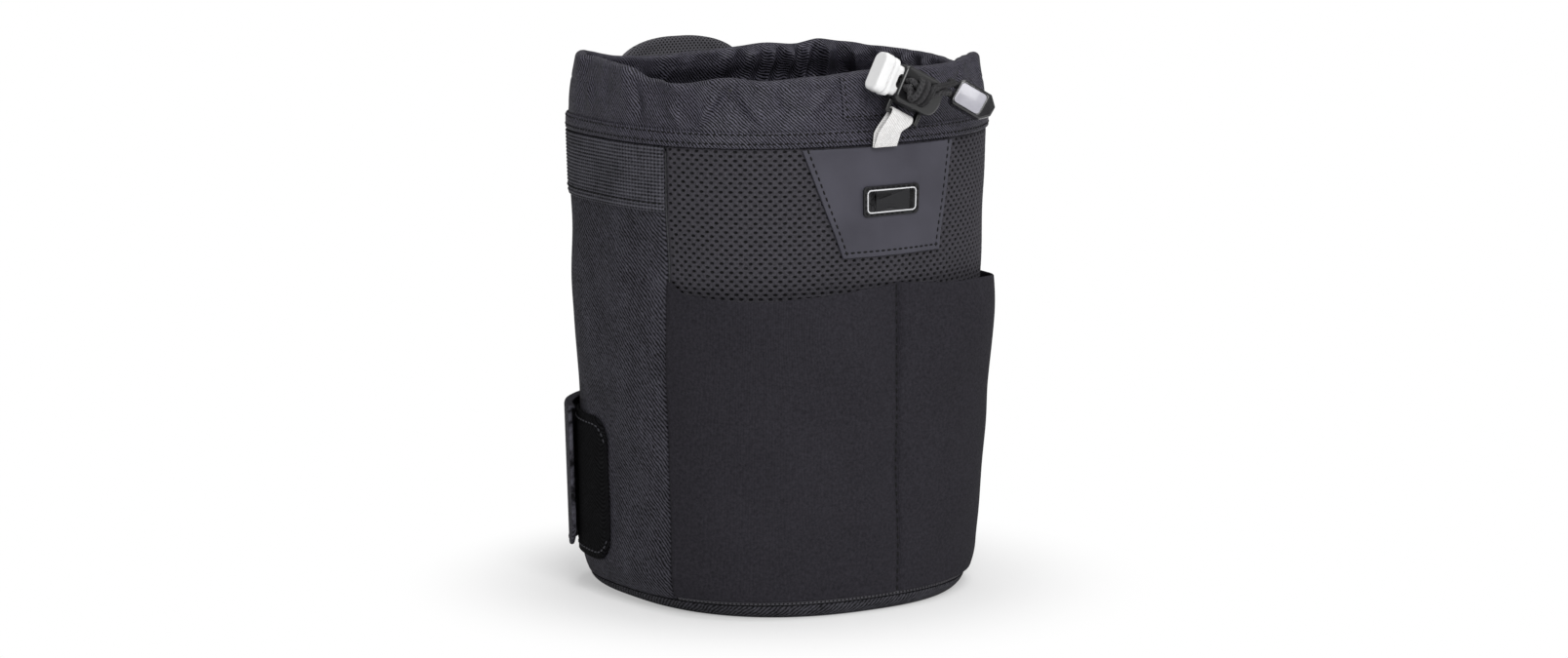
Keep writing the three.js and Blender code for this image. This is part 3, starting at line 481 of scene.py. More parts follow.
class Finish(Nodes):
    """A material for one finish of the pouch. Sockets that stay constant are given by name."""

    def __init__(self, name, **constants):
        self.material = bpy.data.materials.new(name)
        self.material.use_nodes = True
        super().__init__(self.material.node_tree)
        self.shader = self.tree.nodes["Principled BSDF"]
        for key, value in constants.items():
            self.shader.inputs[key.replace("_", " ")].default_value = value

    def feed(self, socket, wire):
        self.tree.links.new(wire.socket, self.shader.inputs[socket])

    def flat_cloth(self):
        """The weave map's two directions, in mm."""
        place = self.node("ShaderNodeUVMap", {"uv_map": "weave"})
        parts = self.node("ShaderNodeSeparateXYZ", None, {0: place})
        return parts, parts.out(1)

    def space(self):
        return self.node("ShaderNodeTexCoord", output=3)

    def grain(self, size, detail=3.0, rough=0.6):
        """Soft noise from 0 to 1 whose blotches are about size mm across."""
        inputs = {"Vector": self.space(), "Scale": 1000.0 / size, "Detail": detail, "Roughness": rough}
        return self.node("ShaderNodeTexNoise", None, inputs)

    def wave(self, phase):
        """From 0 to 1 and back once for each whole step of phase."""
        return (phase * (2 * math.pi)).math("SINE") * 0.5 + 0.5

    def mix(self, mask, low, high):
        return self.node("ShaderNodeMix", {"data_type": "RGBA"}, {0: mask, 6: low, 7: high}, output=2)

    def done(self, roughness, relief, depth):
        """The finished material, with a relief whose full depth is given in mm."""
        self.feed("Roughness", roughness)
        inputs = {"Height": relief, "Distance": depth * MM, "Strength": 1.0}
        self.feed("Normal", self.node("ShaderNodeBump", None, inputs))
        return self.material


print("Wires are ready")

# %% [markdown]
# ## The finishes
#
# All the cloth is near black, so what tells one from another is its weave and its sheen: a twill has
# slanting ribs, a woven band has level ones, stretch cloth has a fine nap. Each mixes a dark and a pale
# tone by its own relief, and nearly all add slow blotches and a fine speckle and make the hollows the
# roughest places.


# %% Cloth finishes
def tinted(finish, relief, dark, pale, blotch=14.0, speckle=0.8, uneven=0.5):
    """Colour from the relief, varied slowly over blotches of that size in mm and finely by speckle."""
    slow, fine = finish.grain(blotch, 2.0), finish.grain(1.2, 1.0)
    mask = relief * 0.85 + (slow - 0.5) * uneven + (fine - 0.5) * speckle
    finish.feed("Base Color", finish.mix(mask.math("MAXIMUM", 0.0).math("MINIMUM", 1.0), dark, pale))


def twill(name, pitch, dark, pale, roughness, depth=0.12, contrast=1.0, **constants):
    """Slanting ribs of thread with the fine cross threads between them."""
    finish = Finish(name, **constants)
    across, up = finish.flat_cloth()
    wander = (finish.grain(5.0) - 0.5) * 1.5
    ribs = finish.wave((across + up) / pitch + wander)
    threads = finish.wave(up / (pitch * 1.05) + wander)
    relief = ribs * 0.85 + threads * 0.1 + finish.grain(1.6, 2.0) * 0.6 - 0.28
    tinted(finish, (relief - 0.45) * contrast + 0.42, dark, pale)
    return finish.done(roughness + 0.12 - relief * 0.18, relief, depth)


side_cloth = twill(
    "side_twill", 2.1, shade(12, 11, 14), shade(80, 79, 88), 0.8, Specular_IOR_Level=0.15
)
collar_cloth = twill(
    "collar_nylon", 1.5, shade(3, 3, 6), shade(82, 80, 92), 0.44, depth=0.25, contrast=1.7,
    Specular_IOR_Level=0.2
)
base_cloth = twill(
    "base_twill", 2.0, shade(13, 13, 15), shade(76, 75, 82), 0.8, Specular_IOR_Level=0.15
)


RIB_PITCH = 1.5


def woven_band():
    """Cross threads of the ribbed band; its level ribs are in the mesh."""
    finish = Finish("ribbed_band", Specular_IOR_Level=0.2)
    across, up = finish.flat_cloth()
    rib = finish.wave(up / RIB_PITCH + 0.25)
    relief = rib * 0.6 + finish.wave(across / 1.9) * 0.4
    tinted(finish, relief, shade(14, 14, 16), shade(96, 95, 104))
    return finish.done(0.85 - relief * 0.15, relief, 0.12)


def stretch_nap():
    """Knitted stretch cloth: a fine even nap with hardly any direction."""
    finish = Finish("stretch_cloth", Specular_IOR_Level=0.1)
    across, up = finish.flat_cloth()
    knit = finish.wave(across / 0.62) * finish.wave(up / 0.5)
    relief = knit * 0.5 + finish.grain(0.55, 4.0) * 0.5
    tinted(finish, relief, shade(26, 25, 29), shade(62, 60, 67), 30.0, 0.6, 0.16)
    return finish.done(0.95 - relief * 0.1, relief, 0.09)


def air_mesh():
    """Open mesh yarn, pale on its crests; the pits that the mesh marks get painted near-black shade."""
    finish = Finish("air_mesh", Specular_IOR_Level=0.2)
    pit = finish.node("ShaderNodeAttribute", {"attribute_name": "pit"}, output=2)
    yarn = finish.grain(0.9, 3.0)
    crest = finish.mix(yarn, shade(18, 17, 20), shade(80, 78, 85))
    # Painted shade: the pits' walls and bottoms are mixed unevenly toward near black.
    painted_hollow_shade = pit * (finish.grain(4.0, 1.0) * 0.9 + 0.45)
    finish.feed("Base Color", finish.mix(painted_hollow_shade.math("MINIMUM", 1.0), crest, shade(9, 9, 10)))
    return finish.done(0.75 + yarn * 0.15, yarn, 0.05)


def small_mesh(name, across_pitch, up_pitch, dark, pale):
    """Mesh cloth with small staggered holes, on the flat cloth's coordinates."""
    finish = Finish(name, Specular_IOR_Level=0.2)
    across, up = finish.flat_cloth()

    def holes(shift):
        x = (across / across_pitch + shift).math("FRACT") - 0.5
        y = (up / up_pitch + shift).math("FRACT") - 0.5
        return ((x * x) * 2.2 + y * y * 3.0).math("SQRT")

    near = holes(0.0).math("MINIMUM", holes(0.5))
    crest = smooth_mask(near, 0.2, 0.42)
    yarn = finish.grain(0.35, 3.0)
    tone = crest * (yarn * 0.4 + 0.75)
    finish.feed("Base Color", finish.mix(tone.math("MINIMUM", 1.0), dark, pale))
    return finish.done(0.9 - crest * 0.15, crest, 0.3)


def smooth_mask(wire, low, high):
    """0 below low, 1 above high, and smooth between."""
    inputs = {0: wire, 1: low, 2: high, 3: 0.0, 4: 1.0}
    return wire.nodes.node("ShaderNodeMapRange", {"interpolation_type": "SMOOTHSTEP"}, inputs)


band_cloth = woven_band()
stretch_cloth = stretch_nap()
front_mesh = air_mesh()
tab_mesh = small_mesh("tab_mesh", 1.9, 2.3, shade(16, 16, 18), shade(84, 83, 88))
pad_cloth = twill("pad_twill", 1.9, shade(6, 6, 7), shade(26, 26, 28), 0.9, Specular_IOR_Level=0.05)
lining_cloth = twill("lining_taffeta", 0.5, shade(40, 40, 44), shade(60, 60, 65), 0.75, depth=0.04)
print("Cloth finishes:", len(bpy.data.materials))

# %% [markdown]
# ### Rubber, ribbon, cord and plastic
#
# The patch is smooth matt rubber with a fine pebble. The ribbon is pale grosgrain, whose ribs run
# across it. The cord is braided: two sets of slanting strands, one over the other. The lock and clip
# are glossy moulded plastic, where the lights do the work and only a breath of unevenness is added.


# %% Rubber, ribbon, cord, plastic, foam and steel
def matt_rubber(name, dark, pale, roughness, depth=0.03):
    finish = Finish(name, Specular_IOR_Level=0.3)
    pebble = finish.grain(0.4, 4.0)
    slow = finish.grain(22.0, 2.0)
    finish.feed("Base Color", finish.mix(pebble * 0.3 + slow * 0.7, dark, pale))
    return finish.done(roughness + pebble * 0.12, pebble, depth)


def grosgrain():
    finish = Finish("pale_grosgrain", Sheen_Weight=0.2)
    across, up = finish.flat_cloth()
    ribs = finish.wave(up / 0.9)
    threads = finish.wave(across / 0.45)
    relief = ribs * 0.7 + threads * 0.3
    tinted(finish, relief, shade(206, 204, 203), shade(250, 249, 249), blotch=5.0)
    return finish.done(0.85 - relief * 0.1, relief, 0.16)


CORD_RADIUS = 1.35


def braid():
    """Two slanting sets of strands round a cord; the first map direction goes round it."""
    finish = Finish("braided_cord", Specular_IOR_Level=0.3)
    around, along = finish.flat_cloth()
    girth = 2 * math.pi * CORD_RADIUS
    left = finish.wave(around * (3 / girth) + along / 1.9)
    right = finish.wave(around * (3 / girth) - along / 1.9)
    relief = left.math("MAXIMUM", right) * 0.8 + finish.grain(0.25) * 0.2
    tinted(finish, relief, shade(15, 15, 17), shade(62, 61, 63), blotch=4.0)
    return finish.done(0.8 - relief * 0.15, relief, 0.2)


def moulded(name, colour, roughness, coat=0.0, mottle=0.92):
    """Moulded plastic: even colour, with faint flow marks in its gloss."""
    finish = Finish(name, Coat_Weight=coat, Coat_Roughness=0.08)
    flow = finish.grain(6.0, 2.0)
    low = tuple(c * mottle for c in colour[:3]) + (1.0,)
    finish.feed("Base Color", finish.mix(flow, low, colour))
    return finish.done(roughness - 0.04 + flow * 0.08, finish.grain(1.5, 2.0), 0.006)


def open_foam():
    finish = Finish("foam", Subsurface_Weight=0.0)
    cells = finish.node("ShaderNodeTexVoronoi", None, {"Vector": finish.space(), "Scale": 1400.0})
    finish.feed("Base Color", finish.mix(cells, shade(66, 66, 70), shade(96, 96, 100)))
    return finish.done(0.9 + cells * 0.1, cells, 0.2)


def drawn_steel():
    finish = Finish("spring_steel", Metallic=1.0)
    marks = finish.grain(0.3, 3.0)
    finish.feed("Base Color", finish.mix(marks, shade(150, 150, 154), shade(196, 196, 200)))
    finish.feed("Roughness", 0.25 + marks * 0.15)
    return finish.material


patch_rubber = matt_rubber("patch_rubber", shade(43, 42, 50), shade(77, 76, 86), 0.55)
badge_rubber = matt_rubber("badge_rubber", shade(18, 18, 20), shade(32, 32, 35), 0.5)
border_rubber = matt_rubber("border_rubber", shade(196, 196, 200), shade(226, 226, 228), 0.5)
ribbon_cloth = grosgrain()
cord_cloth = braid()
black_plastic = moulded("black_plastic", shade(24, 24, 27), 0.22, coat=0.5)
lock_plastic = moulded("lock_plastic", shade(17, 17, 19), 0.34, coat=0.35)
white_plastic = moulded("white_plastic", shade(240, 240, 240), 0.25, coat=0.4)
silver_plastic = moulded("silver_plastic", shade(176, 175, 184), 0.3, coat=0.3, mottle=0.72)
foam_body = open_foam()
steel = drawn_steel()
# Near-black stitch thread, darker than the cloth: partly the thread's own colour, partly painted shade of
# the dimples that stitches sit in.
black_thread = matt_rubber("black_thread", shade(6, 6, 7), shade(16, 16, 18), 0.8)
grey_thread = matt_rubber("grey_thread", shade(40, 40, 44), shade(70, 70, 76), 0.7)
grip_cloth = matt_rubber("grip_cloth", shade(20, 20, 22), shade(44, 44, 47), 0.9, depth=0.3)
print("Finishes in all:", len(bpy.data.materials))


# %% Fitting a piece to its body
def fit(piece, body, slot, surface, *nodes):
    """Gives a piece its finish and the body it rides on, and hides the nodes that it stands for."""
    piece.data.materials.clear()
    piece.data.materials.append(surface)
    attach(piece, body)
    if nodes:
        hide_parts(*nodes)
    return piece


# %% [markdown]
# A sheet of cloth's cut size is printed. We know each width from the pattern, in mm along the seam, and
# the mesh has two faces, so half its area over the width is the cut's length.


# %% Printing a sheet's cut
def cut_sheet(piece, width, held, *rests_on, with_pieces=()):
    """Prints the cut of a sheet of cloth from the width of its cut, in mm."""
    area = sum(face.area for face in piece.data.polygons) / 2
    length = area / (width * MM)
    width * MM
    print(piece.name, "is cut", round(width), "by", round(length / MM), "mm")
    return piece


# %% [markdown]
# ## Cords first
#
# Two ends of one braided cord come out of the collar, pass through the lock, and run to the end clip.
# The upper end is wound a little over twice round the other on its way, which makes the bundle that
# shows in front of the lock. From the lock's front on, each end is one unbroken tube. In the knot, on
# the way into it and just before the clip it bends more sharply than a real limp cord would. The routes
# repeat the points that the solids were swept along, in the lock's own axes: across, the way the button
# is pressed; up, away from the ribbon; and out, away from the collar.

# %% The lock's axes
LOCK_CENTRE = np.array([9.2, -(FRONT_DEPTH + 8), SEAM_HEIGHT + 22.6])
LOCK_TILT = math.radians(27)
ACROSS = np.array([math.cos(LOCK_TILT), 0, -math.sin(LOCK_TILT)])
UP = np.array([math.sin(LOCK_TILT), 0, math.cos(LOCK_TILT)])
OUT = np.array([0.0, -1.0, 0.0])


def at_lock(points):
    """Points given as (across, up, out) from the lock's middle, put in their place, in mm."""
    points = np.asarray(points, float)
    return LOCK_CENTRE + points[..., :1] * ACROSS + points[..., 1:2] * UP + points[..., 2:3] * OUT


def curve_through(points, steps):
    """A smooth curve through a route's points (a centripetal Catmull-Rom spline)."""
    points = np.asarray(points, float)
    points = np.concatenate([[2 * points[0] - points[1]], points, [2 * points[-1] - points[-2]]])
    knots = np.concatenate([[0], np.cumsum(np.linalg.norm(np.diff(points, axis=0), axis=1) ** 0.5)])
    made = []
    for k in range(1, len(points) - 2):
        ends, near = knots[k - 1:k + 3], points[k - 1:k + 3]
        t = np.linspace(ends[1], ends[2], steps, endpoint=False)[:, None]

        def blend(start, end, a, b):
            return (end - t) / (end - start) * a + (t - start) / (end - start) * b

        pairs = [blend(ends[i], ends[i + 1], near[i], near[i + 1]) for i in range(3)]
        threes = [blend(ends[i], ends[i + 2], pairs[i], pairs[i + 1]) for i in range(2)]
        made.append(blend(ends[1], ends[2], *threes))
    return np.concatenate([*made, points[-2:-1]])


def length_of(path):
    return float(np.linalg.norm(np.diff(path, axis=0), axis=1).sum())


CORD_PAIR = 1.5
PINCH = -7.9
LOCK_DEPTH = 10.4
KNOT_FOOT = LOCK_DEPTH / 2 + 2 * PLAY
KNOT_OUT, KNOT_UP, KNOT_START, KNOT_PITCH, KNOT_TURNS = 10.3, -1.2, -7.0, 3.0, 2.3
KNOT_HIGH, KNOT_DEEP, KNOT_SQUARENESS = 4.5, 3.1, 0.8
CLIP_CENTRE = np.array([28.7, 7.7, 1.5])
CLIP_TURN, CLIP_ROLL = math.radians(26), math.radians(7)
CLIP_LENGTH, CLIP_WIDTH, CLIP_DEPTH = 18.5, 12.0, 8.0
HOLE_DEPTH, HOLE_PITCH = 6.0, 5.0
STRAIGHT = 2 * CORD_RADIUS
print("Lock's middle, in mm:", LOCK_CENTRE.round(1))


# %% [markdown]
# The clip hangs turned toward us and a little nose down, so its own axes are the lock's, rolled and then
# turned. The winding is a helix whose turns are slightly squared: a cord pulled tight over a flat core
# runs straight across it and bends at the corners.


# %% Clip axes and winding
def on_clip(points):
    """Points in the clip's own axes, as (across, up, out) from the lock's middle."""
    x, y, z = np.moveaxis(np.asarray(points, float), -1, 0)
    rolled = x * math.cos(CLIP_ROLL) + y * math.sin(CLIP_ROLL)
    up = y * math.cos(CLIP_ROLL) - x * math.sin(CLIP_ROLL)
    across = rolled * math.cos(CLIP_TURN) - z * math.sin(CLIP_TURN)
    out = rolled * math.sin(CLIP_TURN) + z * math.cos(CLIP_TURN)
    return np.stack([across, up, out], -1) + CLIP_CENTRE


def winding(turns):
    turns = np.asarray(turns, float) * 2 * np.pi
    high, deep = (np.sign(v) * np.abs(v) ** KNOT_SQUARENESS for v in (np.cos(turns), np.sin(turns)))
    across = KNOT_START + KNOT_PITCH * turns / (2 * np.pi)
    return np.stack([across, KNOT_UP - KNOT_HIGH * high, KNOT_OUT + KNOT_DEEP * deep], -1)


# %% The two cord ends
TAIL_START = np.array([KNOT_START + KNOT_PITCH * (KNOT_TURNS + 1), KNOT_UP + KNOT_HIGH, KNOT_OUT])
hole_end = PLAY + CLIP_LENGTH / 2 - HOLE_DEPTH
tail_way = on_clip([-hole_end - HOLE_DEPTH - STRAIGHT, HOLE_PITCH / 2, 0]) - TAIL_START
tail_way = tail_way / np.linalg.norm(tail_way)


def to_clip(start, side):
    """Route points from the knot to the bottom of one of the clip's two holes."""
    in_hole = on_clip([[-hole_end - by, side * HOLE_PITCH / 2, 0] for by in (0, HOLE_DEPTH + STRAIGHT)])
    end, entry = in_hole
    middle = (start + entry) / 2 + [0, CORD_RADIUS / 2, 3.8 * CORD_RADIUS]
    return [middle, entry, entry + (end - entry) / 3, entry + (end - entry) * 2 / 3, end]


lead = [[PINCH, -CORD_PAIR, KNOT_FOOT], [PINCH, -CORD_PAIR, KNOT_FOOT + STRAIGHT]]
wraps = winding(np.linspace(0.0, KNOT_TURNS, 29))
half_way = (wraps[-1] + TAIL_START) / 2
half_way[1] = TAIL_START[1]
leaving = [TAIL_START + tail_way * way for way in (0, STRAIGHT, 2 * STRAIGHT + PLAY)]
wound_route = np.concatenate([lead, wraps, [half_way], leaving, to_clip(leaving[-1], 1)])
wound_path = at_lock(curve_through(wound_route, 6))

core_up = KNOT_UP + CORD_RADIUS
core_leaves = np.array([TAIL_START[0], core_up, KNOT_OUT])
core = np.array([
    [PINCH, CORD_PAIR, KNOT_FOOT],
    [PINCH, CORD_PAIR, KNOT_FOOT + STRAIGHT],
    [PINCH + STRAIGHT, core_up, KNOT_OUT],
    [0, core_up, KNOT_OUT],
    core_leaves,
    core_leaves + tail_way * 2 * STRAIGHT,
])
core_route = np.concatenate([core, to_clip(core[-1], -1)])
core_path = at_lock(curve_through(core_route, 8))

wound_cord = fit(
    tube("cord_end_wound", wound_path, CORD_RADIUS), "cord_lock", "cord", cord_cloth,
    "cord_knot", "cord_tail_upper",
)
core_cord = fit(
    tube("cord_end_core", core_path, CORD_RADIUS), "cord_lock", "cord", cord_cloth, "cord_tail_lower"
)
print("Cord ends, in mm:", round(length_of(wound_path), 1), "and", round(length_of(core_path), 1))


# %% [markdown]
# Between the collar and the lock the two strands cross a joint: the lock tips forward about its ribbon.
# Each strand here is a plain tube that rides on neither body.

# %% The strands that the lock pinches
COLLAR_HEIGHT = 28.3
STRAND_BACK = 10.5
for name, side in (("cord_strand_upper", 1), ("cord_strand_lower", -1)):
    way = np.linspace(-STRAND_BACK, KNOT_FOOT, 26)
    path = at_lock(np.stack([np.full_like(way, PINCH), np.full_like(way, side * CORD_PAIR), way], -1))
    strand = tube("braided_" + name, path, CORD_RADIUS)
    strand.data.materials.append(cord_cloth)
    start, end = path[0] * MM, at_lock([PINCH, side * CORD_PAIR, -LOCK_DEPTH / 2]) * MM
    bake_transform(strand)
    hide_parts(name)
print("Strands run", round(STRAND_BACK + KNOT_FOOT, 1), "mm")

# %% [markdown]
# ## A tree for stitches
#
# Hundreds of stitches are one small shape set along lines, which is what Geometry Nodes is for. The
# lines come in as edges that carry, at each point, the direction facing away from the cloth. The tree
# walks along them at the stitch pitch, sets one stitch at each step, turned along the line and facing
# outward, and makes them real. Placing them by hand would be slow and could never be changed later.


# %% Geometry Nodes helpers
class Tree(Nodes):
    """A Geometry Nodes tree with named inputs."""

    def __init__(self, name, **inputs):
        super().__init__(bpy.data.node_groups.new(name, "GeometryNodeTree"))
        self.tree.interface.new_socket("Geometry", in_out="INPUT", socket_type="NodeSocketGeometry")
        self.tree.interface.new_socket("Geometry", in_out="OUTPUT", socket_type="NodeSocketGeometry")
        for key, kind in inputs.items():
            self.tree.interface.new_socket(key, in_out="INPUT", socket_type="NodeSocket" + kind)
        self.given = self.node("NodeGroupInput")

    def input(self, name):
        return self.given.out(name)

    def chain(self, geometry, kind, settings=None, inputs=None):
        """The next step that a geometry goes through."""
        return self.node(kind, settings, {0: geometry, **(inputs or {})})

    def finish(self, geometry):
        real = self.chain(geometry, "GeometryNodeRealizeInstances")
        done = self.chain(real, "GeometryNodeSetMaterial", None, {"Material": self.input("Finish")})
        self.node("NodeGroupOutput", None, {0: done})

    def apply(self, source, name, **values):
        """A plain mesh, named name, of what the tree makes from an object. The object is removed."""
        modifier = source.modifiers.new("nodes", "NODES")
        modifier.node_group = self.tree
        for item in self.tree.interface.items_tree:
            if item.name in values:
                modifier[item.identifier] = values[item.name]
        graph = bpy.context.evaluated_depsgraph_get()
        mesh = bpy.data.meshes.new_from_object(source.evaluated_get(graph))
        mesh.name = name
        source.modifiers.clear()
        bpy.data.objects.remove(source)
        return in_scene(name, mesh)


def hidden_shape(name, points, faces, **attributes):
    """A small shape for a tree to repeat. It isn't part of the scene itself."""
    mesh = bpy.data.meshes.new(name)
    mesh.from_pydata([tuple(p) for p in points], [], [tuple(f) for f in faces])
    smooth_shaded(mesh)
    for key, values in attributes.items():
        mark(mesh, key, values)
    return bpy.data.objects.new(name, mesh)


# %% The stitch tree
stitching = Tree("stitching", Stitch="Object", Pitch="Float", Finish="Material")
lines = stitching.chain(stitching.given, "GeometryNodeMeshToCurve")
steps = stitching.chain(
    lines, "GeometryNodeResampleCurve", {"mode": "LENGTH"}, {"Length": stitching.input("Pitch")}
)
facing = stitching.node(
    "GeometryNodeInputNamedAttribute", {"data_type": "FLOAT_VECTOR"}, {"Name": "outward"}
)
along = stitching.node("GeometryNodeInputTangent")
turned = stitching.node(
    "FunctionNodeAxesToRotation", {"primary_axis": "Z", "secondary_axis": "X"},
    {"Primary Axis": facing, "Secondary Axis": along},
)
shape = stitching.node(
    "GeometryNodeObjectInfo", None, {"Object": stitching.input("Stitch")}, output="Geometry"
)
set_out = stitching.chain(
    steps, "GeometryNodeInstanceOnPoints", None, {"Instance": shape, "Rotation": turned}
)
stitching.finish(set_out)


def stitch_shape(name, length, width, height, segments=8, rings=4):
    """One stitch: a low rounded bead of thread, in metres."""
    points = [(length / 2, 0, 0)]
    for k in range(1, rings):
        turned_by = math.pi * k / rings
        for s in range(segments):
            way = 2 * math.pi * s / segments
            points.append((
                length / 2 * math.cos(turned_by),
                width / 2 * math.sin(turned_by) * math.cos(way),
                height * math.sin(turned_by) * math.sin(way),
            ))
    points.append((-length / 2, 0, 0))
    faces = []
    for s in range(segments):
        after = (s + 1) % segments
        faces.append((0, 1 + s, 1 + after))
        for k in range(rings - 2):
            low, high = 1 + k * segments, 1 + (k + 1) * segments
            faces.append((low + s, high + s, high + after, low + after))
        last = 1 + (rings - 2) * segments
        faces.append((len(points) - 1, last + after, last + s))
    return hidden_shape(name, np.array(points) * MM, faces)


STITCHES = {
    "short": (stitch_shape("stitch_short", 1.8, 0.85, 0.3), 2.6),
    "plain": (stitch_shape("stitch_plain", 2.1, 0.85, 0.32), 3.0),
    "long": (stitch_shape("stitch_long", 2.4, 1.5, 0.4), 3.7),
}


def sew(name, body, thread, size, lines):
    """Stitches along lines, each a pair of arrays: points in mm and the directions that face out."""
    counts = [len(points) for points, _ in lines]
    starts = np.concatenate([[0], np.cumsum(counts)])
    edges = [(k, k + 1) for a, b in zip(starts[:-1], starts[1:]) for k in range(a, b - 1)]
    mesh = bpy.data.meshes.new(name)
    mesh.from_pydata((np.concatenate([p for p, _ in lines]) * MM).tolist(), edges, [])
    facing = np.concatenate([d for _, d in lines])
    layer_of = mesh.attributes.new("outward", "FLOAT_VECTOR", "POINT")
    layer_of.data.foreach_set("vector", np.float32(facing).ravel())
    stitch, pitch = STITCHES[size]
    source = in_scene(name + "_lines", mesh)
    made = stitching.apply(source, name, Stitch=stitch, Pitch=pitch * MM, Finish=thread)
    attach(made, body)
    print(name, "has", len(made.data.polygons), "faces")
    return made


# %% [markdown]
# ## The wall, from the lining out
#
# Foam gives the pouch its body: it stands between a thin lining and the shell. The foam shows nowhere,
# but the lining is seen from above, and the shell follows the same swells, so all the layers are built
# in the same way. At each seam a layer's edge rolls in, which is what makes the dark groove of a sewn
# seam.

# %% Layers of the wall
SHELL = 1.2
FOAM_OUT, FOAM_IN = -1.5, -6.0
LINING_OUT, LINING_IN = -6.3, -7.1
BASE_TOP = 6.0
PANEL_FOOT = BASE_TOP + PLAY
PANEL_TOP = SEAM_HEIGHT - PLAY
BAND_FOOT = SEAM_HEIGHT - 28


def wall(name, start, end, foot, top, outer, inner, roll):
    """A panel of the wall between two angles. Its edges roll in over roll mm."""
    arcs = edge_steps(arc_at(start), arc_at(end), roll, 3.0)
    heights = edge_steps(foot, top, roll, 3.0)
    angle, z, from_edge = panel_grid(arcs, heights)
    full = rounded(from_edge, roll)
    shared = sag(angle, z)
    face = outer - (1 - full) * (outer - inner) * 0.8 + shared
    return layer(name, angle, z, face, inner + shared)


def wall_ring(name, foot, top, outer, inner, roll):
    """A layer that goes once round the body."""
    angle, z = crossed(angle_at(once_round(180)), edge_steps(foot, top, roll, 4.0))
    full = rounded(np.minimum(z - foot, top - z), roll)
    shared = sag(angle, z)
    face = outer - (1 - full) * (outer - inner) * 0.4 + shared
    back = inner + (1 - full) * (outer - inner) * 0.4 + shared
    return layer(name, angle, z, face, back, ring=True)


left_seam, right_seam = 360 - SIDE_SEAM, SIDE_SEAM
left_back, right_back = 360 - BACK_SEAM, BACK_SEAM
seam_play = 0.3
panels = [
    ("right_side_panel", right_seam, right_back),
    ("back_panel", right_back, left_back),
    ("left_side_panel", left_back, left_seam),
]


for name, start, end in panels:
    panel = wall(
        name + "_cloth", start + seam_play, end - seam_play, PANEL_FOOT, PANEL_TOP, 0.0, -SHELL, SHELL
    )
    fit(panel, "pouch", "side_cloth", side_cloth, name)
    cut_sheet(panel, arc_at(end) - arc_at(start), "stretched", "wall_foam")

# The binding stands a little above the seam, so that no light shows through under the collar.
BINDING_FOOT, BINDING_TOP = SEAM_HEIGHT - 1.9, SEAM_HEIGHT + 1.1
LINING_FOOT = 7.3
foam = wall_ring("wall_foam_soft", PANEL_FOOT, BINDING_FOOT - PLAY, FOAM_OUT, FOAM_IN, 1.6)
fit(foam, "pouch", "foam", foam_body, "wall_foam")
lining = wall_ring("wall_lining_cloth", LINING_FOOT, BINDING_FOOT - PLAY, LINING_OUT, LINING_IN, 0.4)
fit(lining, "pouch", "lining_cloth", lining_cloth, "wall_lining")
cut_sheet(lining, GIRTH, "stretched", "wall_foam")
binding = wall_ring("mouth_binding_tape", BINDING_FOOT, BINDING_TOP, FOAM_OUT, LINING_IN, 0.7)
fit(binding, "pouch", "lining_cloth", lining_cloth, "mouth_binding")
print("Wall layers:", len(panels) + 3)

# %% [markdown]
# ### The ribbed band
#
# A ribbed band wraps the top of the sides and back. Its ribs are level ridges 1.5 mm apart, large
# enough to break the outline, so they belong in the mesh. A tree lifts a fine grid in waves of its
# height, only on the outer face, which a small attribute marks.

# %% The band and its ribs
ribbing = Tree("ribbing", Pitch="Float", Depth="Float", Finish="Material")
height_of = ribbing.node("GeometryNodeInputNamedAttribute", {"data_type": "FLOAT"}, {"Name": "rise"})
outer_face = ribbing.node("GeometryNodeInputNamedAttribute", {"data_type": "FLOAT"}, {"Name": "lift"})
ridge = (height_of / ribbing.input("Pitch") * (2 * math.pi)).math("COSINE") * 0.5 + 0.5
pushed = ridge * outer_face * ribbing.input("Depth")
normal = ribbing.node("GeometryNodeInputNormal")
offset = ribbing.node("ShaderNodeVectorMath", {"operation": "SCALE"}, {0: normal, "Scale": pushed})
ribbing.finish(ribbing.chain(ribbing.given, "GeometryNodeSetPosition", None, {"Offset": offset}))

BAND_OUT, BAND_IN = 1.2, 0.3
RIB_DEPTH = 0.45
BAND_STITCH = BAND_FOOT + 3.6
arcs = edge_steps(arc_at(right_seam), arc_at(left_seam), 0.7, 3.0)
across_ribs = np.arange(BAND_FOOT + 0.12, PANEL_TOP - 0.1, RIB_PITCH / 5)
heights = np.concatenate([[BAND_FOOT], across_ribs, [PANEL_TOP]])
angle, z, from_edge = panel_grid(arcs, heights)
full = rounded(from_edge, 0.7)
shared = sag(angle, z)
groove = 0.3 * fade(z - BAND_STITCH, 0.8)
face = BAND_IN + (BAND_OUT - BAND_IN - RIB_DEPTH) * full + shared - groove
band = layer("upper_band_plain", angle, z, face, BAND_IN + shared)
rise = np.tile(z.ravel() - BAND_FOOT, 2)
lift = np.concatenate([(full * (from_edge > 0)).ravel(), np.zeros(z.size)])
mark(band.data, "rise", rise)
mark(band.data, "lift", lift)
band = ribbing.apply(band, "upper_band_ribbed", Pitch=RIB_PITCH, Depth=RIB_DEPTH * MM, Finish=band_cloth)
fit(band, "pouch", "band_webbing", band_cloth, "upper_band")
cut_sheet(band, arcs[-1] - arcs[0], "stretched", "back_panel", "left_side_panel", "right_side_panel")
print("Ribs up the band:", int((PANEL_TOP - BAND_FOOT) / RIB_PITCH))
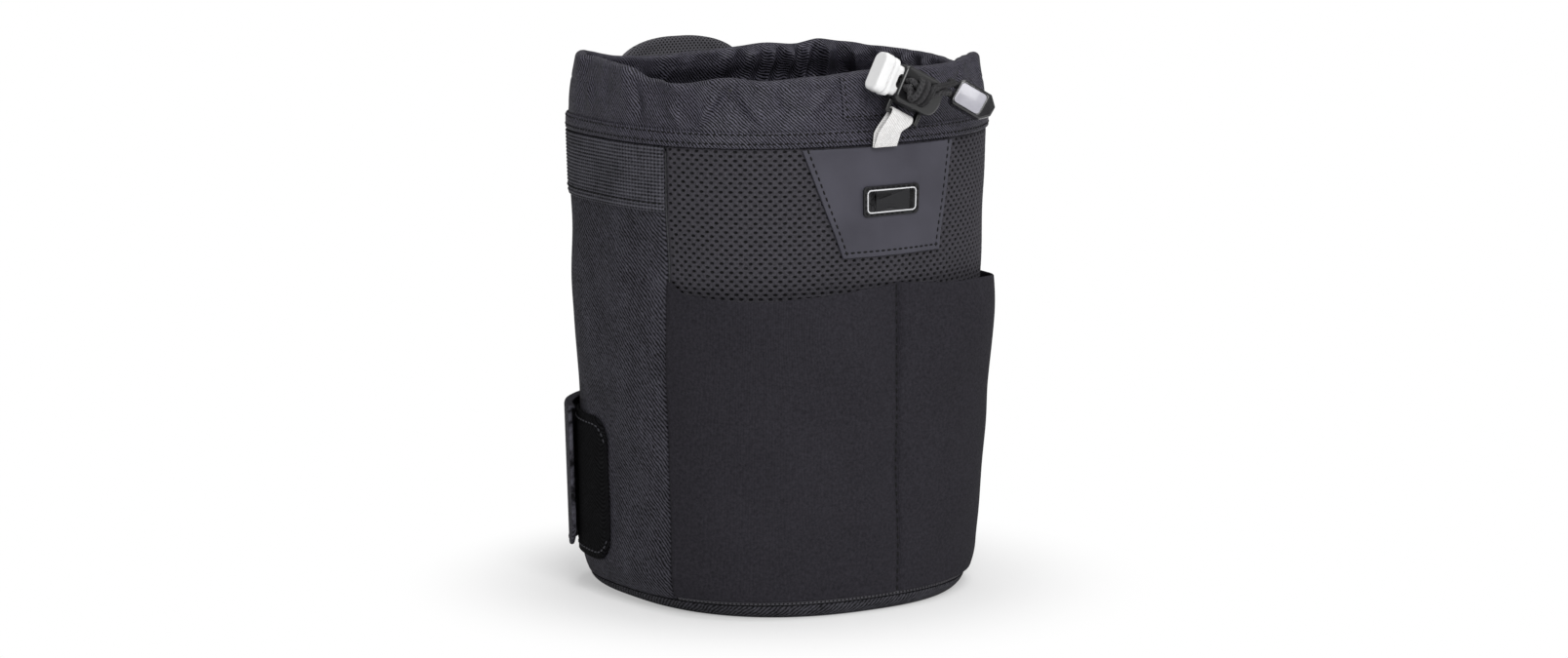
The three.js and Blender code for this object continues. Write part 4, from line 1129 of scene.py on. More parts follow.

# %% [markdown]
# ## The front's air mesh
#
# The front is open air mesh: rows of small oval holes, every other row shifted by half a step. From a
# metre away the holes read as dark dots on grey yarn, and at a grazing angle their rims catch light, so
# they are real pits; their walls and bottoms also get painted shade, near black. One cell, a few dozen
# faces, is repeated on a flat lattice by a tree; welded, it makes a flat cloth that we then wrap round
# the body's section. Only the part that the pocket leaves open gets pits. Below, hidden by the pocket, a
# plain sheet stands for it.

# %% One cell of the mesh
MESH_FOOT = 124.0
CELL_WIDE, CELL_HIGH = 4.2, 1.95
HOLE_WIDE, HOLE_HIGH = 1.28, 0.76
front_arc = arc_at(SIDE_SEAM - seam_play) - arc_at(seam_play - SIDE_SEAM)
columns = round(float(front_arc) / CELL_WIDE)
rows = round((PANEL_TOP - MESH_FOOT) / CELL_HIGH)
rows += 1 - rows % 2
wide, high = float(front_arc) / columns, (PANEL_TOP - MESH_FOOT) / rows


def cell_shape(name, width, height, hole):
    """A rectangle of cloth with a back, split so that shifted rows still share their corners."""
    quarters = round(width / (wide / 4))
    xs = np.linspace(-width / 2, width / 2, quarters + 1)
    foot, top = ([(x, y) for x in xs] for y in (-height / 2, height / 2))
    outline = np.array(foot + [(width / 2, 0.0)] + top[::-1] + [(-width / 2, 0.0)])
    count = len(outline)
    way = np.arctan2(outline[:, 1] / height, outline[:, 0] / width)
    # Each level: size of the hole's ring, depth in mm, and the share of painted shade the finish puts on it.
    levels = [(None, 0.0, 0.0)]
    if hole:
        levels += [(1.0, -0.02, 0.05), (0.72, -0.2, 0.5), (0.62, -0.62, 1.0)]
    points, pit = [], []
    for size, depth, dark in levels:
        for (x, y), turned in zip(outline, way):
            if size is None:
                points.append((x, y, depth))
            else:
                x, y = HOLE_WIDE * math.cos(turned), HOLE_HIGH * math.sin(turned)
                points.append((size * x, size * y, depth))
            pit.append(dark)
    faces = []
    for k in range(len(levels) - 1):
        for s in range(count):
            after = (s + 1) % count
            low, high_ring = k * count, (k + 1) * count
            faces.append((low + s, low + after, high_ring + after, high_ring + s))
    last = (len(levels) - 1) * count
    faces.append(tuple(range(last, last + count)))
    back = len(points)
    points += [(x, y, -SHELL) for x, y in outline]
    pit += [0.0] * count
    faces.append(tuple(range(back + count - 1, back - 1, -1)))
    return hidden_shape(name, points, faces, pit=pit)


cell = cell_shape("mesh_cell", wide, high, True)
filler = cell_shape("mesh_filler", wide / 2, high, False)
print("Faces in one cell:", len(cell.data.polygons), "and cells:", columns * rows)

# %% The lattice tree
lattice = Tree(
    "mesh_lattice", Cell="Object", Filler="Object", Columns="Int", Rows="Int", Wide="Float",
    High="Float", Finish="Material",
)
columns_in, rows_in = lattice.input("Columns"), lattice.input("Rows")
wide_in, high_in = lattice.input("Wide"), lattice.input("High")
grid = lattice.node("GeometryNodeMeshGrid", None, {
    "Size X": (columns_in - 1.0) * wide_in, "Size Y": (rows_in - 1.0) * high_in,
    "Vertices X": columns_in, "Vertices Y": rows_in,
})
index = lattice.node("GeometryNodeInputIndex")
row = index.math("MODULO", rows_in)
odd = row.math("MODULO", 2.0)
column = (index / rows_in).math("FLOOR")
at_end = column.math("COMPARE", columns_in - 1.0, 0.1)
shift = lattice.node("ShaderNodeCombineXYZ", None, {0: odd * wide_in * 0.5})
shifted = lattice.chain(grid, "GeometryNodeSetPosition", None, {"Offset": shift})
kept = lattice.chain(
    shifted, "GeometryNodeDeleteGeometry", {"domain": "POINT"}, {"Selection": odd * at_end}
)
cell_in, filler_in = (
    lattice.node("GeometryNodeObjectInfo", None, {"Object": lattice.input(key)}, output="Geometry")
    for key in ("Cell", "Filler")
)
cells = lattice.chain(kept, "GeometryNodeInstanceOnPoints", None, {"Instance": cell_in})
ends = []
for side in (-1.0, 1.0):
    start = lattice.node("ShaderNodeCombineXYZ", None, {
        0: (columns_in * 0.5 - 0.25) * wide_in * side, 1: (rows_in - 1.0) * high_in * -0.5,
    })
    step = lattice.node("ShaderNodeCombineXYZ", None, {1: high_in})
    line = lattice.node(
        "GeometryNodeMeshLine", None, {"Count": rows_in, "Start Location": start, "Offset": step}
    )
    even = 1.0 - index.math("MODULO", 2.0)
    held = lattice.chain(line, "GeometryNodeDeleteGeometry", {"domain": "POINT"}, {"Selection": even})
    ends.append(lattice.chain(held, "GeometryNodeInstanceOnPoints", None, {"Instance": filler_in}))
joined = lattice.node("GeometryNodeJoinGeometry")
for part in (cells, *ends):
    lattice.tree.links.new(part.socket, joined.made.inputs[0])
real = lattice.chain(joined, "GeometryNodeRealizeInstances")
welded = lattice.chain(real, "GeometryNodeMergeByDistance", None, {"Distance": 0.02})
lattice.finish(welded)

# %% Wrap the flat mesh round the front
seed = hidden_shape("mesh_seed", [(0, 0, 0)], [])
bpy.context.collection.objects.link(seed)
mesh_panel = lattice.apply(
    seed, "front_air_mesh", Cell=cell, Filler=filler, Columns=columns, Rows=rows, Wide=wide, High=high,
    Finish=front_mesh,
)
flat = bmesh.new()
flat.from_mesh(mesh_panel.data)
border = [e for e in flat.edges if e.is_boundary]
deep = {(round(v.co.x, 2), round(v.co.y, 2)): v for e in border for v in e.verts if v.co.z < -SHELL / 2}
for edge in border:
    if edge.verts[0].co.z > -SHELL / 2:
        a, b = (loop.vert for loop in (edge.link_loops[0], edge.link_loops[0].link_loop_next))
        low_a, low_b = (deep[round(v.co.x, 2), round(v.co.y, 2)] for v in (a, b))
        flat.faces.new((b, a, low_a, low_b))
places = np.array([v.co for v in flat.verts])
half_wide, half_high = places[:, 0].max(), places[:, 1].max()
from_edge = np.minimum(half_wide - np.abs(places[:, 0]), half_high - places[:, 1])
full = rounded(from_edge, SHELL)
angle = angle_at(places[:, 0])
z = MESH_FOOT + half_high + places[:, 1]
out = np.where(places[:, 2] > -SHELL * 0.99, places[:, 2] - (1 - full) * 0.9, places[:, 2])
wrapped = skin(angle, z, out + sag(angle, z)) * MM
for vertex, place in zip(flat.verts, wrapped):
    vertex.co = place
flat.to_mesh(mesh_panel.data)
open_edges = sum(e.is_boundary for e in flat.edges)
flat.free()
smooth_shaded(mesh_panel.data)
fit(mesh_panel, "pouch", "front_mesh", front_mesh, "front_panel")
foot_panel = wall(
    "front_panel_foot", 360 - SIDE_SEAM + seam_play, 360 + SIDE_SEAM - seam_play, PANEL_FOOT,
    MESH_FOOT - 0.05, 0.0, -SHELL, 0.8,
)
fit(foot_panel, "pouch", "front_mesh", tab_mesh, "front_panel")
print("Mesh panel faces:", len(mesh_panel.data.polygons), "open edges:", open_edges)

# %% [markdown]
# ## The gathered collar
#
# The collar is thin coated nylon, sewn on flat at the seam and gathered along its hem by the cord that
# runs in it. So its folds start at nothing and deepen toward the rim, and the rim itself rises and
# dips. We read the rim's height and the big folds from the same tables as the solid, then add what a
# thin crisp cloth does on its own: fine gathers and sharp creases. No cloth simulation is used, because
# it would settle in folds of its own: the folds are placed where the photograph shows them.

# %% The rim, its folds and its creases
RIM_SHARES = [
    (-122, 1.16), (-100, 1.13), (-84, 1.11), (-74, 0.95), (-62, 0.92), (-48, 1.02), (-36, 0.98),
    (-20, 1.03), (-4, 1.09), (30, 1.08), (56, 1.13), (77, 0.9), (95, 0.95), (116, 0.98), (128, 1.04),
    (136, 1.08), (143, 1.01), (154, 1.045), (164, 1.02), (180, 0.985), (204, 0.945), (216, 0.99),
    (238, 1.16),
]
PLEATS = [
    (-122, 9, -0.6), (-104, 8, 0.55), (-86, 7, -0.3), (-70, 8, 0.6), (-56, 6, -0.15), (-44, 6, 0.45),
    (-24, 9, 0.2), (20, 12, 0.3), (42, 9, 0.5), (58, 7, -0.5), (76, 9, 0.7), (98, 8, 0.2),
    (113, 6, 0.8), (127, 5, 1), (138, 5, 0.1), (148, 5, 0.95), (158, 4, 0.1), (172, 8, 0.75),
    (196, 9, 0.5), (214, 7, 0.8),
]
COLLAR_LEAN, LEAN_POWER = 4.0, 1.5
FOLD_DEPTH = 3.2
GATHER_DEPTH, GATHER_COUNT = 0.5, 24
# Creases of the collar: angle and height of both ends, half width and depth in mm. A positive depth
# stands out, a negative one is a valley.
CREASES = [
    (-55, 209.5, -48.5, 226.5, 2.3, 3),
    (-43, 223.5, -36, 210, 2.2, 2.5),
    (-52, 214, -45, 228, 2.5, -2.1),
    (-33, 227, -29, 212, 1.9, -1.7),
    (-70, 229.5, -59, 225.5, 2, 2.7),
    (-66, 221, -60, 211, 2, 1.7),
    (-78, 226, -74, 210, 2.2, -2),
    (-25, 214, -16, 227, 2.2, 1.7),
    (12, 226, 22, 213, 2, 2),
    (30, 214, 36, 230, 2, -2),
    (42, 226, 47, 211, 1.9, 2.1),
    (62, 229, 66, 212, 1.8, 1.3),
    (149.5, 227.5, 146, 211, 2, 2.3),
    (143, 222.5, 139, 209, 1.7, -1.8),
    (137, 218, 131, 208, 1.7, 1.8),
    (127.5, 222, 122, 207, 1.8, 2.1),
    (103.5, 228.5, 100, 210, 2.1, 1.8),
    (72, 222, 78, 208, 1.8, -1.1),
    (172, 222, 168, 209, 1.7, 1.8),
    (196, 222, 201, 208, 1.8, -1.6),
    (232, 228, 228, 211, 1.8, 2.1),
    (256, 230, 262, 212, 1.8, 1.3),
]


def read_table(table, angle):
    """A table of (angle, value) rows read smoothly, all the way round."""
    angles, values = np.array(table, float).T
    at = (np.asarray(angle, float) - angles[0]) % 360 + angles[0]
    k = np.clip(np.searchsorted(angles, at, side="left"), 1, len(angles) - 1)
    share = smooth((at - angles[k - 1]) / (angles[k] - angles[k - 1]))
    return values[k - 1] + (values[k] - values[k - 1]) * share


def rim_at(angle):
    return SEAM_HEIGHT + COLLAR_HEIGHT * read_table(RIM_SHARES, angle)


def collar_base(angle, z):
    """The big folds, as the solid has them."""
    rise = np.clip((z - SEAM_HEIGHT) / COLLAR_HEIGHT, 0, 1.2)
    pleats = sum(
        share * fade(half_turn(angle - at), half) for at, half, share in PLEATS
    )
    gathers = GATHER_DEPTH * np.cos(np.radians(GATHER_COUNT * angle))
    return -COLLAR_LEAN * rise ** LEAN_POWER - rise * (FOLD_DEPTH * pleats + gathers)


def creased(angle, z):
    """Fine gathers and sharp creases, in mm."""
    arc = arc_at(half_turn(angle))
    rise = np.clip((z - SEAM_HEIGHT) / COLLAR_HEIGHT, 0, 1.2)
    total = 0.28 * rise * np.sin(arc / 1.9 + 1.7 * np.sin(arc / 11.0) + (z - SEAM_HEIGHT) / 7.0)
    total = total + 0.22 * np.sin(arc / 5.3 + (z - SEAM_HEIGHT) / 3.7) * smooth((z - 207) / 8)
    for start, low, end, high, width, depth in CREASES:
        ax = arc_at(half_turn(start))
        dx, dz = arc_at(half_turn(end)) - ax, high - low
        away = (arc - ax + GIRTH / 2) % GIRTH - GIRTH / 2
        share = np.clip((away * dx + (z - low) * dz) / (dx * dx + dz * dz), 0, 1)
        distance = np.hypot(away - share * dx, z - low - share * dz)
        strength = np.sin(np.pi * np.clip(share, 0.08, 0.92))
        total = total + depth * strength * np.exp(-((distance / width) ** 1.6))
    return total * smooth((z - 208.5) / 5)


def collar_out(angle, z):
    return collar_base(angle, z) + creased(angle, z)


print("Rim from", round(float(rim_at(turn).min()), 1), "to", round(float(rim_at(turn).max()), 1), "mm")

# %% [markdown]
# The collar's wall is one closed ring: up the outside, over the hem's fold, down the inside and back
# under. The hem is 4.8 mm thick and the rest 0.6 mm, because the hem holds a tunnel for the cord. The
# tunnel is a second ring, facing inward.

# %% Loft the collar
CLOTH = 0.6
HEM = 4.8
HEM_DROP, HEM_CLOSE = 11.6, 9
TUNNEL_DROP, TUNNEL_HALF = 6.1, 4.6
collar_angles = angle_at(once_round(600))
# Soft lobes of cloth inside the rim: angle, half width in degrees and depth in mm.
LOBES = [
    (160.5, 3.6, 4.2), (153.3, 1.7, 5.2), (146.3, 1.6, 5.6), (140, 1.5, 4.8), (132.5, 2.3, 6.2),
    (121.5, 2.8, 5.4), (111, 2.4, 4.6), (101, 2.4, 4.0), (91, 2.2, 3.6), (172, 3.4, 2.2), (190, 4.5, 1.8),
]


def inner_lobes(angle, z, rim):
    """How far the inner face hangs in toward the middle."""
    hang = sum(deep * math.exp(-(half_turn(angle - at) / half) ** 2) for at, half, deep in LOBES)
    return hang * smooth((rim - 0.6 - z) / 4) * smooth((z - SEAM_HEIGHT - 1) / 8)


def collar_section(angle):
    """The collar's section at an angle, once round: distances in from its face, and heights."""
    rim = float(rim_at(angle))
    shoulder, hem_low = rim - HEM / 2, rim - HEM_DROP
    closing = hem_low + 5
    rows = [(0.0, z) for z in np.linspace(SEAM_HEIGHT, 212.0, 9)]
    rows += [(0.0, z) for z in np.linspace(212.0, shoulder, 24)[1:]]
    over = np.linspace(0.25, 2.9, 9)
    rows += [(HEM / 2 * (1 - math.cos(t)), shoulder + HEM / 2 * math.sin(t)) for t in over]
    rows += [(HEM, z) for z in np.linspace(shoulder, closing, 9)]
    shares = np.linspace(0.1, 1, 9)
    rows += [(HEM - (HEM - CLOTH - 0.15) * float(smooth(t)), closing - HEM_CLOSE * t) for t in shares]
    rows += [(CLOTH, z) for z in np.linspace(hem_low - 4.8, SEAM_HEIGHT, 12)]
    inward, z = np.array(rows).T
    inside = inward + inner_lobes(angle, z, rim) * smooth((inward - 0.1) / 0.4)
    return inside, z


inward, z = (np.array(part) for part in zip(*(collar_section(a) for a in collar_angles)))
angle = np.broadcast_to(collar_angles[:, None], z.shape)
stitched = 0.25 * fade(z - (rim_at(angle) - HEM_DROP + 0.6), 0.7) * (inward < 0.1)
collar_grid = skin(angle, z, collar_out(angle, z) - inward - stitched)
collar = wrapped_round("collar_gathered", collar_grid, loop=True)

around = np.linspace(0, 2 * np.pi, 13)[:-1]
rim = rim_at(collar_angles)[:, None]
tunnel_z = rim - TUNNEL_DROP + TUNNEL_HALF * np.sin(around)
tunnel_out = -HEM / 2 - (HEM / 2 - CLOTH) * np.cos(around)
angle = np.broadcast_to(collar_angles[:, None], tunnel_z.shape)
tunnel_grid = skin(angle, tunnel_z, collar_out(angle, tunnel_z) + tunnel_out)
tunnel = wrapped_round("collar_tunnel", tunnel_grid, loop=True)
tunnel.data.flip_normals()


def joined_to(piece, *others):
    """Adds other objects' meshes to a piece."""
    for other in others:
        other.data.materials.clear()
    with bpy.context.temp_override(
        active_object=piece, selected_editable_objects=[piece, *others], object=piece
    ):
        bpy.ops.object.join()
    return piece


collar = fit(joined_to(collar, tunnel), "pouch", "collar_nylon", collar_cloth, "collar")
print("Collar faces:", len(collar.data.polygons))

# %% [markdown]
# ### Tape, exit patch and the cord in the hem
#
# A tape covers the collar's seam, and a small patch strengthens the place where the cord comes out.
# Both follow the collar's own folds.

# %% Tape, exit patch and draw cord
TAPE_TOP, TAPE_THICK = SEAM_HEIGHT + PLAY + 6.7, 0.8
TAPE_STITCHES = (203.8, 207.6)
tape_rows = edge_steps(SEAM_HEIGHT + PLAY, TAPE_TOP, 0.6, 0.9)
arc, z = crossed(once_round(400), tape_rows)
angle = angle_at(arc)
full = rounded(np.minimum(z - tape_rows[0], tape_rows[-1] - z), 0.6)
pucker = 0.14 * np.sin(arc / 2.6 * 2 * np.pi) * smooth((z - 204) / 3)
sunk = 0.22 * sum(fade(z - height, 0.5) for height in TAPE_STITCHES)
base = collar_out(angle, z) + PLAY
face = base + TAPE_THICK * full + pucker * full - sunk
tape = layer("collar_tape_sewn", angle, z, face, base, ring=True)
fit(tape, "pouch", "collar_nylon", collar_cloth, "collar_tape")

EXIT_SIDES, EXIT_ENDS = (-13.6, 5.8), (212.5, 230.5)
exit_arcs = edge_steps(*arc_at(EXIT_SIDES), 0.6, 1.2)
angle, z, from_edge = panel_grid(exit_arcs, edge_steps(*EXIT_ENDS, 0.6, 1.2))
base = collar_out(angle, z) + PLAY
face = base + 0.3 + 0.45 * rounded(from_edge, 0.6)
exit_patch = layer("cord_exit_patch_cloth", angle, z, face, base)
fit(exit_patch, "pouch", "collar_nylon", collar_cloth, "cord_exit_patch")
cut_sheet(collar, GIRTH, "gathered", "mouth_binding", with_pieces=[tape, exit_patch])

EXIT_MIDDLE = at_lock([PINCH, 0, 0])
exit_angle = math.degrees(math.atan2(EXIT_MIDDLE[0], FRONT_DEPTH))
upper_end, lower_end = at_lock([PINCH, CORD_PAIR, 0]), at_lock([PINCH, -CORD_PAIR, 0])


def in_channel(angle, z):
    return skin(angle, z, collar_base(angle, z) - HEM / 2)


# The cord starts and ends at the height of the lock's holes and settles in the channel on its way.
settle = 20
start = exit_angle - 10
ring_angles = np.arange(start, start - 340, -1.5)
free = rim_at(ring_angles) - 5
from_start = smooth(np.abs(ring_angles - start) / settle)
from_end = smooth(np.abs(ring_angles - ring_angles[-1]) / settle)
heights = lower_end[2] + (free - lower_end[2]) * from_start
heights = upper_end[2] + (heights - upper_end[2]) * from_end
ring_path = in_channel(ring_angles, heights)
channel_y = in_channel(exit_angle, EXIT_MIDDLE[2])[1]
leave_y = skin(exit_angle, EXIT_MIDDLE[2], collar_base(exit_angle, EXIT_MIDDLE[2]))[1] - 1.2


def turned_out(end, toward):
    bend = 2 * CORD_RADIUS
    quarter = np.linspace(0, np.pi / 2, 6)
    return np.concatenate([[[end[0], leave_y, end[2]]], np.stack([
        end[0] + toward * bend * (1 - np.cos(quarter)), channel_y - bend * (1 - np.sin(quarter)),
        np.full(6, end[2]),
    ], -1)])


draw_path = np.concatenate([turned_out(lower_end, -1), ring_path, turned_out(upper_end, 1)[::-1]])
draw_tube = tube("draw_cord_braided", draw_path, CORD_RADIUS, sides=10)
fit(draw_tube, "pouch", "cord", cord_cloth, "draw_cord")
print("Draw cord in the hem, in mm:", round(length_of(draw_path)))

# %% [markdown]
# ## The stretch pocket
#
# Stretch cloth is sewn down at both side seams, along the foot and down the divider, and stands off
# where a hand would go in. Its top edge is only turned over and bonded, so it's a plain rounded lip.
# The cloth pulls toward the divider's seam: small puckers run out from the stitches.

# %% Pocket
POCKET_FOOT = 8.0
POCKET_HEIGHT = 133.0
POCKET_CLOTH = 1.0
POCKET_BULGE = 8.0
POCKET_TOP = [
    (-66, 1.026), (-65, 1.026), (-57, 0.988), (-41, 0.978), (-23, 0.99), (-6, 1.004), (5, 1.011),
    (29, 0.996), (65, 0.966), (66, 0.966),
]


def divider_at(share):
    return 7.8 - 3.0 * share


def stand_off(angle, share):
    divider = divider_at(share)
    left = angle < divider
    start = np.where(left, -SIDE_SEAM, divider)
    end = np.where(left, divider, SIDE_SEAM)
    across = np.sin(np.pi * np.clip((angle - start) / (end - start), 0, 1)) ** 0.8
    body = 0.42 * smooth(share * 3)
    lip = 0.58 * fade(share - 0.88, 0.17)
    return POCKET_BULGE * across * (body + lip)


def pocket_out(angle, share):
    """How far the pocket's inner face stands from the shell."""
    z = POCKET_FOOT + POCKET_HEIGHT * share
    arc = arc_at(angle)
    away = arc - arc_at(divider_at(share))
    pucker = 0.22 * np.exp(-np.abs(away) / 5) * np.sin(z * 2 * np.pi / 3.7) * smooth(np.abs(away) / 1.5)
    seam = -0.6 * fade(away, 1.5)
    slack = 0.35 * np.sin(angle / 9 + z / 17) * np.sin(z / 31 + 1) * smooth(np.abs(away) / 12)
    return PLAY + 0.35 + stand_off(angle, share) + pucker + seam + slack + sag(angle, z)


# Columns lie closer together round the divider, and rows in the rounded foot and top.
pocket_angles = np.concatenate([
    np.linspace(-SIDE_SEAM + seam_play, 3, 110)[:-1],
    np.linspace(3, 9, 26),
    np.linspace(9, SIDE_SEAM - seam_play, 100)[1:],
])
pocket_shares = np.concatenate([
    [0, 0.002, 0.006, 0.012], np.linspace(0.02, 0.978, 128), [0.986, 0.992, 0.997, 1.0],
])
angle, share = crossed(pocket_angles, pocket_shares)
top = read_table(POCKET_TOP, angle)
z = POCKET_FOOT + POCKET_HEIGHT * share * top
arc = arc_at(angle)
edge_away = np.minimum.reduce([
    arc - arc_at(pocket_angles[0]), arc_at(pocket_angles[-1]) - arc, z - POCKET_FOOT,
    POCKET_HEIGHT * top * (1 - share),
])
full = rounded(edge_away, 0.6)
inner = pocket_out(angle, share)
pressed = 0.55 * fade(arc - arc_at(divider_at(share)), 1.1)
face = inner + POCKET_CLOTH * (0.5 + 0.5 * full) - pressed
pocket = layer("stretch_pocket_cloth", angle, z, face, inner + POCKET_CLOTH * 0.5 * (1 - full))
fit(pocket, "pouch", "stretch_cloth", stretch_cloth, "stretch_pocket")
cut_sheet(pocket, arc_at(pocket_angles[-1]) - arc_at(pocket_angles[0]), "stretched", "front_panel")
print("Pocket faces:", len(pocket.data.polygons))

# %% [markdown]
# ## Patch and badge
#
# The patch is cut from smooth rubber sheet and sewn on close to its edge, so its edge is sharp and its
# face has a shallow channel under the stitches. The badge on it is a thicker moulded plate with a
# raised pale border. It is bare: a badge's lettering belongs to a maker, and this pouch has none.

# %% Patch
PATCH_OUT, PATCH_IN = 1.5, 0.3
PATCH_HEIGHT = 46.6
PATCH_TOP = SEAM_HEIGHT - 0.7
PATCH_FOOT = PATCH_TOP - PATCH_HEIGHT
PATCH_TOP_X = (-38.3, 36.6)
PATCH_FOOT_X = (-20.1, 30.6)
PATCH_STITCH = 2.3


def patch_x(across, up):
    """x on the patch at shares across it and up it."""
    left = PATCH_FOOT_X[0] + (PATCH_TOP_X[0] - PATCH_FOOT_X[0]) * up
    right = PATCH_FOOT_X[1] + (PATCH_TOP_X[1] - PATCH_FOOT_X[1]) * up
    return left + (right - left) * across


def on_front(x, z, out):
    """Points in front of the shell, at a distance out that follows its swells."""
    angle = angle_of(x, z)
    return skin(angle, z, out + sag(angle, z))


def edge_shares(width, radius, spacing):
    return edge_steps(0, width, radius, spacing) / width


PATCH_EDGE = 0.35
up = edge_shares(PATCH_HEIGHT, PATCH_EDGE, 1.0)
across = edge_shares(PATCH_TOP_X[1] - PATCH_TOP_X[0], PATCH_EDGE, 1.0)
across, up = crossed(across, up)
x, z = patch_x(across, up), PATCH_FOOT + PATCH_HEIGHT * up
wide_here = patch_x(1, up) - patch_x(0, up)
from_sides = np.minimum(across, 1 - across) * wide_here
full = rounded(np.minimum.reduce([from_sides, z - PATCH_FOOT, PATCH_TOP - z]), PATCH_EDGE)
line = fade(np.minimum(from_sides, z - PATCH_FOOT) - PATCH_STITCH, 0.45)
face = PATCH_IN + (PATCH_OUT - PATCH_IN) * (0.4 + 0.6 * full) - 0.2 * line
patch = sheet_between("front_patch_rubber", on_front(x, z, face), on_front(x, z, PATCH_IN))
fit(patch, "pouch", "patch_rubber", patch_rubber, "front_patch")

# %% Badge
BADGE_X, BADGE_Z = 2.7, SEAM_HEIGHT - 23.8
# Width, height and corner of the badge, its border and the line of its stitches.
BADGE, BORDER, BADGE_SEAM = (28.3, 12.9, 2.0), (24.4, 9.4, 1.6), (26.4, 11.2, 1.9)
BORDER_HALF, BORDER_HIGH = 0.3, 0.22
BADGE_IN, BADGE_OUT = 1.8, 2.6


def round_box(width, height, corner, per_corner=8):
    """The outline of a rectangle with round corners, counterclockwise, in mm."""
    points = []
    for k, (sx, sy) in enumerate([(1, -1), (1, 1), (-1, 1), (-1, -1)]):
        cx, cy = sx * (width / 2 - corner), sy * (height / 2 - corner)
        start = -math.pi / 2 + k * math.pi / 2
        for t in np.linspace(start, start + math.pi / 2, per_corner):
            points.append((cx + corner * math.cos(t), cy + corner * math.sin(t)))
    return np.array(points)


def inset(outline, by):
    """An outline drawn in by a distance, along its own normals."""
    ahead = np.roll(outline, -1, 0) - np.roll(outline, 1, 0)
    ahead /= np.linalg.norm(ahead, axis=1)[:, None]
    return outline + by * np.stack([-ahead[:, 1], ahead[:, 0]], -1)


def plate(name, outline, rings, place):
    """A closed plate from an outline: rings are (inset, depth) pairs from its back to its front."""
    grid = np.array([
        [place(x, y, depth) for x, y in inset(outline, by)] for by, depth in rings
    ]).transpose(1, 0, 2)
    return wrapped_round(name, grid)


def on_badge(x, y, depth):
    return on_front(BADGE_X + x, BADGE_Z + y, depth)


badge_rings = [(0.1, BADGE_IN), (0, BADGE_IN + 0.1), (0, BADGE_OUT - 0.25), (0.08, BADGE_OUT - 0.07)]
badge_rings += [(by, BADGE_OUT) for by in (0.25, 1.0, 2.0, 3.5, 5.0, 5.9)]
badge = plate("patch_badge_plate", round_box(*BADGE), badge_rings, on_badge)
fit(badge, "pouch", "badge_rubber", badge_rubber, "patch_badge")
border_path = round_box(*BORDER, 7)
border_grid = []
for t in np.linspace(0, 2 * np.pi, 9)[:-1]:
    moved = inset(border_path, BORDER_HALF * math.cos(t))
    border_grid.append([on_badge(x, y, BADGE_OUT + BORDER_HIGH * math.sin(t)) for x, y in moved])
border = wrapped_round("badge_border", np.array(border_grid).transpose(1, 0, 2)[:, ::-1], loop=True)
fit(border, "pouch", "badge_rubber", border_rubber)
print("Badge is", BADGE[0], "by", BADGE[1], "mm")

# %% [markdown]
# ## The base boot
#
# The foot of the pouch is a tray of tough twill that turns up round the edge. Its turned-up wall ends
# just under the side panels, and its lower edge is a soft roll, since there's foam inside.

# %% Base
BASE_FLOOR = 1.5
EDGE_RADIUS = 5.0
base_angles = angle_at(once_round(360))


def foot_ring(inward, z, share=1.0):
    """The floor's outline drawn in by a distance and then shrunk to a share, once round."""
    ring = skin(base_angles, z, -inward)
    ring[:, :2] = ring[:, :2] * share
    return ring


def bowl(name, rows):
    """A closed shape from rows of (inward, height, share); the first and last rows are capped."""
    return wrapped_round(name, np.stack([foot_ring(*row) for row in rows], 1))


rows = [(6.5, BASE_FLOOR, s) for s in (0.3, 0.6, 0.85, 1.0)]
rows += [(EDGE_RADIUS + 0.6, BASE_FLOOR), (4.4, 1.9), (3.2, 2.9), (2.1, 4.0), (1.5, 5.0)]
rows += [(1.25, BASE_TOP - 0.2), (0.9, BASE_TOP), (0.4, BASE_TOP), (0.1, BASE_TOP - 0.25)]
rows += [(0, BASE_TOP - 0.7)]
rows += [
    (EDGE_RADIUS * (1 - math.cos(t)), EDGE_RADIUS * (1 - math.sin(t)))
    for t in np.linspace(0.06, np.pi / 2, 10)
]
rows += [(EDGE_RADIUS + 1, 0.0), (6.5, 0.0, 0.98)] + [(6.5, 0.0, s) for s in (0.85, 0.6, 0.3)]
fit(bowl("base_boot", rows), "pouch", "base_cloth", base_cloth, "base_panel")


def soft_disc(name, inward, low, high, edge):
    """A flat pad of the floor's shape with rounded edges."""
    turns = np.linspace(0, np.pi / 2, 5)
    rows = [(inward + edge, low, s) for s in (0.4, 0.8)]
    rows += [(inward + edge * (1 - math.sin(t)), low + edge * (1 - math.cos(t))) for t in turns]
    rows += [(inward + edge * (1 - math.cos(t)), high - edge * (1 - math.sin(t))) for t in turns]
    rows += [(inward + edge, high, s) for s in (0.8, 0.4)]
    return bowl(name, rows)


base_pad = soft_disc("base_foam_soft", 5.3, 1.8, 6.8, 1.6)
fit(base_pad, "pouch", "foam", foam_body, "base_foam")
floor_lining = soft_disc("base_lining_cloth", 6.3, 7.1, 7.9, 0.35)
fit(floor_lining, "pouch", "lining_cloth", lining_cloth, "base_lining")
print("Base pieces: 3")

# %% [markdown]
# ## The belt carrier and the tab
#
# Behind the body a pad is sewn flat, and over it hangs a flap, sewn on only along a fold at its top: a
# belt goes between them. The flap has a body of its own in the frame, so what is sewn to it rides with
# it. Above them stands a padded tab faced with mesh.

